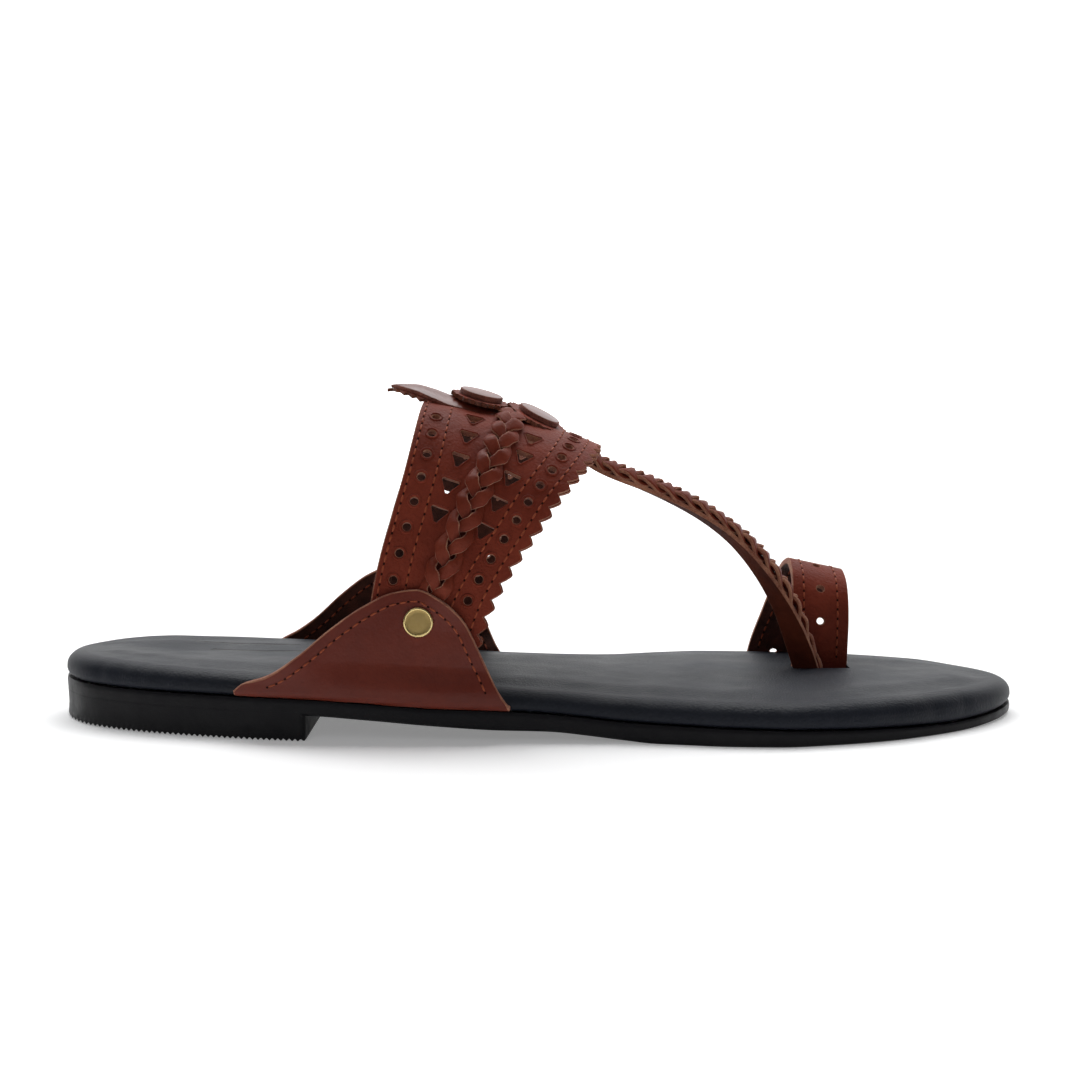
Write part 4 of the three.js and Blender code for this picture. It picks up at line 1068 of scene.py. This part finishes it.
# %% [markdown]
# ## Toe loop
# The loop is a strap 15 mm wide that stands up out of the slot, passes over the big toe
# and goes down outside the insole into the seam. It is cut straight, and only its path is
# curved, so its blank is a rectangle with a middle row of punched holes.

# %% Path of the loop
LOOP_WALL, LOOP_WIDTH = 1.8, 15.0
LOOP = table(
    "y z rear front fall hug",
    (8.1, 6.4, 70.4, 85.4, 0, 0), (8, 14, 70.4, 85.5, 0, 0), (8.4, 23, 70.4, 85.8, 0.8, 0),
    (10.6, 31.5, 70.7, 86, 2, 0), (15.6, 37.4, 71, 86.1, 3, 0), (22, 39.4, 71, 86, 3.2, 0),
    (28.6, 37.6, 70.2, 85.2, 3, 0), (34.4, 31.6, 68.6, 83.6, 2, 0.2),
    (38.6, 22, 65.8, 80.8, 1, 0.6), (41.8, 12.4, 63, 78, 0.2, 1), (43, 8.4, 62.2, 77.2, 0, 1),
)
LOOP_HUG_Y = 40.9
run = 0.0
for before, row in zip([LOOP[0], *LOOP], LOOP):
    run += math.hypot(row["y"] - before["y"], row["z"] - before["z"])
    row["run"] = run
LOOP_LENGTH = LOOP[-1]["run"]


def loop_surface(u, v):
    u, v = np.broadcast_arrays(np.asarray(u, float), np.asarray(v, float))
    along = u * LOOP_LENGTH
    get = {c: read(LOOP, "run", c, along) for c in ("y", "z", "rear", "front", "fall", "hug")}
    x = lerp(get["rear"], get["front"], v)
    y = get["y"] + get["hug"] * (edge_y(x, "inner") - LOOP_HUG_Y)
    z = get["z"] - v * get["fall"]
    # Past its last station the strap goes on down and folds in under the insole.
    past = np.maximum(0, along - LOOP_LENGTH)
    bend_z = fold_z(x, LOOP_WALL)
    straight = np.maximum(0, z - bend_z)
    below = np.maximum(0, past - straight)
    radius = FOLD + LOOP_WALL
    quarter = (FOLD + LOOP_WALL / 2) * math.pi / 2
    turn = np.minimum(below / quarter, 1) * math.pi / 2
    z = z - np.minimum(past, straight) - np.where(below > 0, radius * np.sin(turn), 0)
    y = y - radius * (1 - np.cos(turn)) - np.maximum(0, below - quarter)
    return join3(x, y, z)


# %% The loop, punched and bent
# Runs from the slot to each punched hole.
LOOP_HOLES = (17.4, 27.2, 37.4, 47.6, 57.8, 68.0, 78.1)
LOOP_END = LOOP_LENGTH + 9  # what is left over turns in under the insole
LOOP_STEPS = 60
loop_outline = [(k * LOOP_END / LOOP_STEPS, 0) for k in range(LOOP_STEPS + 1)]
loop_outline += [(x, LOOP_WIDTH) for x, _ in reversed(loop_outline)]
loop_holes = [around(ROUND_HOLE, 16, (r, LOOP_WIDTH / 2)) for r in LOOP_HOLES]
loop_blank = cut_blank(loop_outline, loop_holes, wall=LOOP_WALL, rounding=0.2)
toe_loop = bend_piece("toe_loop", loop_blank, over(loop_surface, LOOP_LENGTH, LOOP_WIDTH, -1),
                      LEATHER, (1.5, 2.5))
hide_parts("upper")
print("the loop is", round(LOOP_LENGTH), "mm round")

# %% [markdown]
# ## Thong lining
# The thong starts under the front of the band at the crown, runs down to the slot and
# turns on its side on the way, so that it passes between the toes edge on. Its lining is a
# plain strip that follows that turn; the plait is stitched on its upper side.

# %% Path of the thong
THONG_WALL, THONG_WIDTH = 1.1, 7.0
THONG = table(
    "x y z turn",
    (-3, -1.6, 77.9, 0), (6, -1.2, 73, 0), (18, -0.4, 65.2, 2), (31, 0.8, 60, 5),
    (44.6, 2, 53.2, 11), (54, 3, 46.2, 16), (62.2, 3.8, 36.6, 25), (67.6, 4.2, 27.6, 38),
    (71.4, 4.6, 18.4, 56), (74, 4.9, 10.4, 64), (74.8, 5, 6.4, 66),
)
run = 0.0
for before, row in zip([THONG[0], *THONG], THONG):
    run += math.dist([row[c] for c in "xyz"], [before[c] for c in "xyz"])
    row["run"] = run
THONG_LENGTH = THONG[-1]["run"]


def unit(vectors):
    return vectors / np.linalg.norm(vectors, axis=-1, keepdims=True)


def thong_frame(along_run):
    """Point, along, across and plait side of the thong at each run."""
    def point(at):
        return np.stack([read(THONG, "run", c, np.clip(at, 0, THONG_LENGTH)) for c in "xyz"], 1)

    at = np.atleast_1d(np.asarray(along_run, float))
    along = unit(point(at + 1) - point(at - 1))
    upright = unit(np.cross([0, 1, 0], along))
    upright = upright * np.where(upright[:, 2:3] < 0, -1, 1)
    turn = -np.radians(read(THONG, "run", "turn", at))[:, None]
    out = upright * np.cos(turn) + np.cross(along, upright) * np.sin(turn)
    return point(at), along, np.cross(out, along), out


def on_thong(flat):
    at, _, across, out = thong_frame(flat[:, 0])
    narrow = lerp(0.85, 1, soften(0.25, 0.6, flat[:, :1] / THONG_LENGTH))
    return at + across * flat[:, 1:2] * narrow + out * flat[:, 2:3]


strip = [(k * THONG_LENGTH / 70, -THONG_WIDTH / 2) for k in range(71)]
strip += [((70 - k) * THONG_LENGTH / 70, THONG_WIDTH / 2) for k in range(71)]
SPLIT_GRAIN = grain_leather("soft_lining_leather", "#4A2016", "#66301F", (0.75, 0.85), 0.8, 0.06)
thong_lining = bend_piece("thong_lining", cut_blank(strip, wall=THONG_WALL), on_thong,
                          [BROWN_FLESH, BROWN_EDGE, SPLIT_GRAIN], (1.6, 3.5))
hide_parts("upper")
print("the thong is", round(THONG_LENGTH), "mm long")

# %% [markdown]
# ## Three-strand plaits
# A flat plait has one rule: each strand swings from edge to edge, passes over the middle on
# the way out and under it on the way back. So a strand's sideways swing is a sine and its
# height is a sine of twice the angle, and three of them a third of a turn apart never meet.
# Each strand is rolled a little where it turns, so that its cut edge catches the light.

# %% One strand and one plait
def strand(bm, frame_at, ends, phase, size, squeeze):
    lobe, width, strip, thick, point, rise = size
    swing, swell = (width - 0.86 * strip) / 2, 0.62 * thick

    def place(s, t):
        run = lerp(ends[0], ends[1], s)
        at, along, across, out = frame_at(run)
        press = squeeze(run)[:, None]
        angle = (2 * math.pi * run / (3 * lobe) + phase)[:, None]
        lean = swing * np.cos(angle) * 2 * math.pi / (3 * lobe)
        ahead = unit(along + across * lean)
        side = unit(np.cross(out, ahead))
        side = side * np.sign(np.sum(side * across, axis=1, keepdims=True))
        roll = math.radians(30) * np.sin(angle)
        tipped = side * np.cos(roll) - out * np.sin(roll) * press
        upward = out * np.cos(roll) + side * np.sin(roll)
        around_it = (2 * math.pi * t)[:, None]
        c, d = np.cos(around_it), np.sin(around_it)
        # Broad on top, narrow where it dives under, and never twice the same by hand.
        uneven = 1 + 0.09 * np.sin(2.3 * run + 5 * phase)[:, None]
        pointed = (1 - point * (1 - np.sin(2 * angle))) * uneven
        flat_w = 0.5 * strip * pointed * np.sign(c) * np.abs(c) ** 0.7
        flat_h = 0.5 * thick * np.sign(d) * np.abs(d) ** 0.8 * (0.55 + 0.45 * press)
        lift = (swell + thick / 2) * press + rise + swell * np.sin(2 * angle) * press
        lateral = swing * np.sin(angle) + 0.16 * np.sin(1.1 * run + 2 * phase)[:, None]
        return at + across * lateral + out * lift + tipped * flat_w + upward * flat_h

    steps = int(abs(ends[1] - ends[0]) / 0.65)
    skin(bm, steps, 12, place,
         lambda s, t: CUT_EDGE if abs(math.cos(2 * math.pi * t)) > 0.8 else GRAIN)


def make_plait(name, frame_at, ends, size, squeeze, materials):
    bm = bmesh.new()
    for k in range(3):
        strand(bm, frame_at, ends, k * 2 * math.pi / 3, size, squeeze)
    bmesh.ops.remove_doubles(bm, verts=bm.verts[:], dist=1e-6)
    bmesh.ops.holes_fill(bm, edges=[e for e in bm.edges if e.is_boundary], sides=0)
    return finish_mesh(bm, name, materials)


# %% The plait down the band and the plait on the thong
# Lobe, width, strip, thickness, how pointed, and how far it stands off the leather. Below
# zero the strands are pressed into it, so no light shows under them.
BRAID = (5.8, 8.6, 3.6, 1.15, 0.24, 0.12)
THONG_BRAID = (5.3, 7.9, 5.2, 1.6, 0.08, -0.3)
PLAIT_GRAIN = grain_leather("plaited_buffalo_thong", "#642617", "#7A3524", (0.42, 0.56), 1.1)


def band_line(run):
    u = 0.5 + run / BAND_LENGTH
    return frame_on(band_surface, u, np.full_like(u, PLAIT_SHARE), -1)


PLAIT_LOW = 34.5  # height at which the plait has gone in behind a flap


def plait_reach(side):
    run = 30.0
    while float(band_surface(0.5 + side * run / BAND_LENGTH, PLAIT_SHARE)[..., 2]) > PLAIT_LOW:
        run += 0.25
    return side * run


PLAIT_ENDS = (plait_reach(-1), plait_reach(1))


def band_squeeze(run):
    """Pressed flat under the medallions, and where it runs in behind a flap."""
    behind = np.minimum(run - PLAIT_ENDS[0], PLAIT_ENDS[1] - run)
    return lerp(0.8, 1, soften(5, 10, np.abs(run))) * lerp(0.5, 1, soften(1.5, 5, behind))


def thong_squeeze(run):
    share = run / THONG_LENGTH
    return lerp(0.7, 1, soften(0.13, 0.22, share)) * lerp(1, 1.4, soften(0.5, 0.8, share))


band_plait = make_plait("band_plait_strands", band_line, PLAIT_ENDS, BRAID,
                        band_squeeze, [PLAIT_GRAIN, BROWN_EDGE])
thong_plait = make_plait("thong_plait_strands", thong_frame,
                         (0.15 * THONG_LENGTH, 0.985 * THONG_LENGTH),
                         THONG_BRAID, thong_squeeze, [PLAIT_GRAIN, BROWN_EDGE])
for piece, node in ((band_plait, "band_plait"), (thong_plait, "thong_plait")):
    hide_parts(node)

# %% [markdown]
# ## Ornaments on the crown
# Over the middle of the band lie a leaf that points back to the heel and two round
# medallions, each a smooth piece on a pinked one. They are small blanks: the medallions
# are laid flat and tilted as they lie on the slope of the instep, and the leaf follows its
# own side view, rising a little at the tip as thick leather does.

# %% Medallions
MEDALLIONS = table(
    "name x y lift tilt roll cap pinked",
    ("rear", -14.6, -2.8, 1.9, 15, 7, 5.75, 7.8), ("front", 0.2, -2.2, 0.3, 27, 8, 5.75, 8.7),
)
PINK_WALL, CAP_WALL = 1.15, 1.5


def pinked_circle(radius, teeth, bite, seed):
    """A circle cut with small shears, so its teeth are not quite even."""
    uneven = np.random.default_rng(seed)
    loop = []
    for k in range(2 * teeth):
        angle = 2 * math.pi * (k + uneven.uniform(-0.16, 0.16)) / (2 * teeth)
        r = radius - (bite if k % 2 else 0) + uneven.uniform(-0.18, 0.18)
        loop.append((r * math.cos(angle), r * math.sin(angle)))
    return loop


def tilted(spec, low, doming=0.0):
    """Lays a small blank on the crown: domed, tilted nose down, and put in place."""
    slope, roll = math.radians(spec["tilt"]), math.radians(spec["roll"])
    top = float(read(ARCH, "x", "crown", spec["x"])) + spec["lift"]

    def place(flat):
        r2 = (flat[:, 0] ** 2 + flat[:, 1] ** 2) / spec["cap"] ** 2
        z = flat[:, 2] + low + doming * (1 - r2)
        y = flat[:, 1] * math.cos(roll) - z * math.sin(roll)
        z = flat[:, 1] * math.sin(roll) + z * math.cos(roll)
        x = flat[:, 0] * math.cos(slope) + z * math.sin(slope)
        z = -flat[:, 0] * math.sin(slope) + z * math.cos(slope)
        return join3(x + spec["x"], y + spec["y"], z + top)

    return place


CAP_GRAIN = grain_leather("polished_leather_cap", "#5C2216", "#70301F", (0.28, 0.38), 0.35, 0.5)
CAP_EDGE = napped_leather("dyed_cut_edge_of_leather", "#4E2418", "#8A5040", fibre=0.0003)
ROUGH_EDGE = napped_leather("layered_pinked_edge", "#40190F", "#8A4E36", 0.0005, 0.0008)
for seed, spec in enumerate(MEDALLIONS):
    rim = pinked_circle(spec["pinked"], 24, 0.75, seed)
    pinked = bend_piece(f"medallion_{spec['name']}_pinked_disc",
                        cut_blank(rim, wall=PINK_WALL, rounding=0.08),
                        tilted(spec, PINK_WALL), [BROWN_GRAIN, ROUGH_EDGE, ROUGH_EDGE], (1.6, 1.6))
    cap = bend_piece(f"medallion_{spec['name']}_smooth_cap",
                     cut_blank(around(spec["cap"], 56), wall=CAP_WALL, rounding=0.3),
                     tilted(spec, PINK_WALL + CAP_WALL, 0.3), [CAP_GRAIN, CAP_EDGE, BROWN_FLESH],
                     (1.2, 1.2))
    for piece, node in ((pinked, "pinked"), (cap, "cap")):
        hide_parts(f"medallion_{spec['name']}_{node}")

# %% Leaf
LEAF_WALL, LEAF_Y = 0.85, -2.8
LEAF = table(
    "x z half",
    (-37.8, 87.9, 0.7), (-35.4, 88.2, 3.4), (-31.6, 88.1, 5.6), (-26.6, 86.9, 6.9),
    (-22, 85.2, 7.2), (-17, 84, 7.2), (-12.2, 82.7, 7), (-8.6, 81.2, 6.4),
)


def leaf_outline(grow, teeth=0, bite=0.0):
    tip, root = LEAF[0]["x"] - grow, LEAF[-1]["x"]
    count = 2 * teeth or 30
    one_side = []
    for k in range(count + 1):
        x = lerp(tip, root, k / count)
        half = float(read(LEAF, "x", "half", x)) + grow - (bite if k % 2 else 0)
        one_side.append((x, max(0.35, half)))
    return [(x, -half) for x, half in one_side] + one_side[::-1]


def on_leaf(drop):
    def place(flat):
        x = flat[:, 0]
        step = 0.4
        rise = (read(LEAF, "x", "z", x + step) - read(LEAF, "x", "z", x - step)) / (2 * step)
        slope = np.arctan(rise)
        height = flat[:, 2] - drop
        sag = 0.05 * flat[:, 1] ** 2
        z = read(LEAF, "x", "z", x) + height * np.cos(slope) - sag
        return join3(x - height * np.sin(slope), LEAF_Y + flat[:, 1], z)

    return place


leaf_top = bend_piece("leaf_smooth", cut_blank(leaf_outline(0), wall=LEAF_WALL, rounding=0.15),
                      on_leaf(0), [CAP_GRAIN, CAP_EDGE, BROWN_FLESH], (1.5, 1.8))
leaf_back = bend_piece("leaf_pinked",
                       cut_blank(leaf_outline(0.9, 13, 0.85), wall=LEAF_WALL, rounding=0.08),
                       on_leaf(LEAF_WALL + 0.05), [BROWN_GRAIN, ROUGH_EDGE, BROWN_FLESH],
                       (1.5, 1.8))
for piece, node in ((leaf_top, "leaf_top"), (leaf_back, "leaf_pinked")):
    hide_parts(node)

# %% [markdown]
# ## Brass rivets
# Each flap is riveted to the band by a turned brass rivet: a flat head with a bevelled rim
# outside and a small burr inside. A turned part is a profile spun round its axis. Worn
# brass is a warm, slightly dull metal; the rim is smoother, and its paler brass is a
# painted highlight where the bevel catches the overhead light.

# %% Brass
def brass(name, tint, roughness):
    made, tree, shader = surface(name, Metallic=1.0, Roughness=roughness)
    place = add(tree, "ShaderNodeTexCoord").outputs["Object"]
    rubbed = add(tree, "ShaderNodeTexNoise", {"Vector": place, "Scale": 900.0, "Detail": 4.0})
    tone = add(tree, "ShaderNodeMix", {0: rubbed.outputs["Fac"], 6: colour(tint[0]),
                                       7: colour(tint[1])}, data_type="RGBA")
    tree.links.new(tone.outputs[2], shader.inputs["Base Color"])
    dull = add(tree, "ShaderNodeMapRange", {"Value": rubbed.outputs["Fac"], 1: 0.3, 2: 0.7,
                                            3: roughness - 0.05, 4: roughness + 0.08})
    tree.links.new(dull.outputs[0], shader.inputs["Roughness"])
    bump = add(tree, "ShaderNodeBump", {"Height": rubbed.outputs["Fac"], "Strength": 0.15,
                                        "Distance": 0.0002})
    tree.links.new(bump.outputs[0], shader.inputs["Normal"])
    return made


BRASS_FACE = brass("satin_brass", ("#9A8250", "#B39A66"), 0.42)
# The rim's paler, brighter brass is a painted highlight for the light its bevel catches.
BRASS_RIM_HIGHLIGHT = brass("brass_rim_painted_highlight", ("#D9BE7C", "#EBD79C"), 0.25)

# %% Turning the rivets
RIVET = dict(x=-28.6, z=30.0)


def rivet_frame(side):
    x, z = RIVET["x"], RIVET["z"]

    def face(dx, dz):
        return np.array([x + dx, float(arch_y(x + dx, z + dz, side)), z + dz])

    out = unit(np.cross(face(1, 0) - face(-1, 0), face(0, 1) - face(0, -1)))
    out = out * np.sign(out[1] * side)
    centre = (face(0, 0) + HOME) * MM
    return Matrix.Translation(centre) @ Vector(out).to_track_quat("Z", "Y").to_matrix().to_4x4()


def make_rivet(name, side):
    outside = GAP + FLAP_WALL + 0.15
    inside = -BAND_WALL - GAP
    profile = [(0, inside - 0.8), (2.5, inside - 0.8), (2.8, inside - 0.5), (2.8, inside),
               (1.5, inside), (1.5, outside), (3.66, outside), (3.7, outside + 0.12),
               (3.7, outside + 0.55), (3.58, outside + 0.86), (3.3, outside + 1.0),
               (3.12, outside + 0.92), (2.2, outside + 0.94), (0, outside + 0.98)]
    bm = bmesh.new()
    verts = [bm.verts.new((r * MM, 0, h * MM)) for r, h in profile]
    line = [bm.edges.new(pair) for pair in zip(verts, verts[1:])]
    bmesh.ops.spin(bm, geom=verts + line, cent=(0, 0, 0), axis=(0, 0, 1),
                   angle=2 * math.pi, steps=64, use_merge=True)
    for face in bm.faces:
        middle = face.calc_center_median() / MM
        # Faces of the bevelled rim take the paler brass, a painted highlight.
        on_rim = math.hypot(middle.x, middle.y) > 3.14 and middle.z > outside + 0.2
        face.material_index = 1 if on_rim else 0
    bmesh.ops.transform(bm, matrix=rivet_frame(side), verts=bm.verts[:])
    return finish_mesh(bm, name, [BRASS_FACE, BRASS_RIM_HIGHLIGHT], sharp=40)


for name, side, node in (("rivet_little_toe_side", -1, "rivet_outer"),
                         ("rivet_big_toe_side", 1, "rivet_inner")):
    rivet = make_rivet(name, side)
    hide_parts(node)

# %% [markdown]
# ## Stitching
# All seams are lockstitched in waxed rust-brown thread at about ten stitches to the inch,
# so 2.6 mm each. Each stitch is a short fat thread pulled into the leather between two
# needle holes. The holes look darker than the thread, so both are made, each hole as a dark
# bead whose colour is painted shade: hundreds of tiny beads with few faces, joined into one
# piece for each part of the sandal.

# %% Thread and needle holes
STITCH, THREAD = 2.6, 0.55
NEEDLE_HOLE = (0.28, 0.07, 0.32)  # half its width, depth and length
THREAD_LIFT, HOLE_LIFT = 0.05, 0.02  # how far their middles stand off the leather
FLAP_SEAM_INSET = 2.9
waxed, tree, shader = surface("waxed_rust_thread", Roughness=0.6, Specular_IOR_Level=0.35)
place = add(tree, "ShaderNodeTexCoord").outputs["Object"]
twist = add(tree, "ShaderNodeTexNoise", {"Vector": place, "Scale": 1800.0, "Detail": 2.0})
tone = add(tree, "ShaderNodeMix", {0: twist.outputs["Fac"], 6: colour("#7C3018"),
                                   7: colour("#A8522C")}, data_type="RGBA")
tree.links.new(tone.outputs[2], shader.inputs["Base Color"])
# Each needle hole is a dark bead on the leather, and its near-black brown is painted shade for the
# hole.
needle_hole_shade, hole_tree, hole_shader = surface("needle_hole_painted_shade", Roughness=0.9,
                                        Specular_IOR_Level=0.05)
hole_place = add(hole_tree, "ShaderNodeTexCoord").outputs["Object"]
fuzz = add(hole_tree, "ShaderNodeTexNoise", {"Vector": hole_place, "Scale": 2500.0})
depth = add(hole_tree, "ShaderNodeMix", {0: fuzz.outputs["Fac"], 6: colour("#1E0B07"),
                                         7: colour("#34160E")}, data_type="RGBA")
hole_tree.links.new(depth.outputs[2], hole_shader.inputs["Base Color"])


def sew(bm, path, out):
    """A row of stitches and needle holes along a path that lies on the leather."""
    lengths = np.linalg.norm(np.diff(path, axis=0), axis=1)
    run = np.concatenate([[0], np.cumsum(lengths)])
    count = int(run[-1] / STITCH)

    def at(s, values):
        return np.array([np.interp(s, run, values[:, k]) for k in range(3)])

    for k in range(2 * count + 1):
        s = k * STITCH / 2
        ahead = unit(at(s + 0.4, path) - at(s - 0.4, path))
        normal = unit(at(s, out))
        side = unit(np.cross(normal, ahead))
        thread = k % 2 == 1
        size = (THREAD / 2, 0.2, 0.36 * STITCH) if thread else NEEDLE_HOLE
        centre = at(s, path) + normal * (THREAD_LIFT if thread else HOLE_LIFT)
        columns = [side * size[0] * MM, normal * size[1] * MM, ahead * size[2] * MM]
        matrix = Matrix.Translation((centre + HOME) * MM)
        matrix = matrix @ Matrix(np.array(columns).T.tolist()).to_4x4()
        made = bmesh.ops.create_uvsphere(bm, u_segments=7, v_segments=5, radius=1, matrix=matrix)
        # Hole beads take the dark painted-shade colour, and thread beads take the thread colour.
        for face in {f for v in made["verts"] for f in v.link_faces}:
            face.material_index = 0 if thread else 1


def along_band(line):
    us = np.linspace(0.02, 0.98, 260)
    at, _, _, out = frame_on(band_surface, us, share_of(line, us), -1)
    return at, out


def stitched_piece(name, seams):
    bm = bmesh.new()
    for path, out in seams:
        sew(bm, path, out)
    piece = finish_mesh(bm, name, [waxed, needle_hole_shade], weld=0)


# %% Seams of the band, loop and flaps
def along_loop(v, drop):
    us = np.linspace(0.09, 0.97, 160)
    at, _, _, out = frame_on(loop_surface, us, np.full_like(us, v), -1)
    return at - out * drop, out * (1 if drop == 0 else -1)


def along_flap(side, inward):
    """A line a little inside the flap's top edge, found on its flat pattern."""
    rows = FLAPS[side]
    x0, x1 = rows[0]["x"], rows[-1]["x"]
    xs = np.linspace(x0, x1, 240)
    edge = np.stack([xs, read(rows, "x", "top", xs)], 1)
    ahead = unit(np.gradient(edge, axis=0))
    line = edge + np.stack([ahead[:, 1], -ahead[:, 0]], 1) * FLAP_SEAM_INSET
    line = line[(line[:, 1] > fold_z(line[:, 0], FLAP_WALL) + 1)]
    u, v = (line[:, 0] - x0) / (x1 - x0), (line[:, 1] + FLAP_BELOW) / FLAP_HEIGHT
    face_at = flap_surface(side)
    out = normals(face_at, u, v) * -side
    at = face_at(u, v)
    return (at, -out) if inward else (at + out * FLAP_WALL, out)


stitched_piece("band_stitching", [along_band(line) for line in SEAMS])
stitched_piece("loop_stitching", [along_loop(v, drop) for v in (0.2, 0.8)
                                  for drop in (0.0, LOOP_WALL)])
stitched_piece("flap_stitching", [along_flap(side, inward) for side in (-1, 1)
                                  for inward in (False, True)])
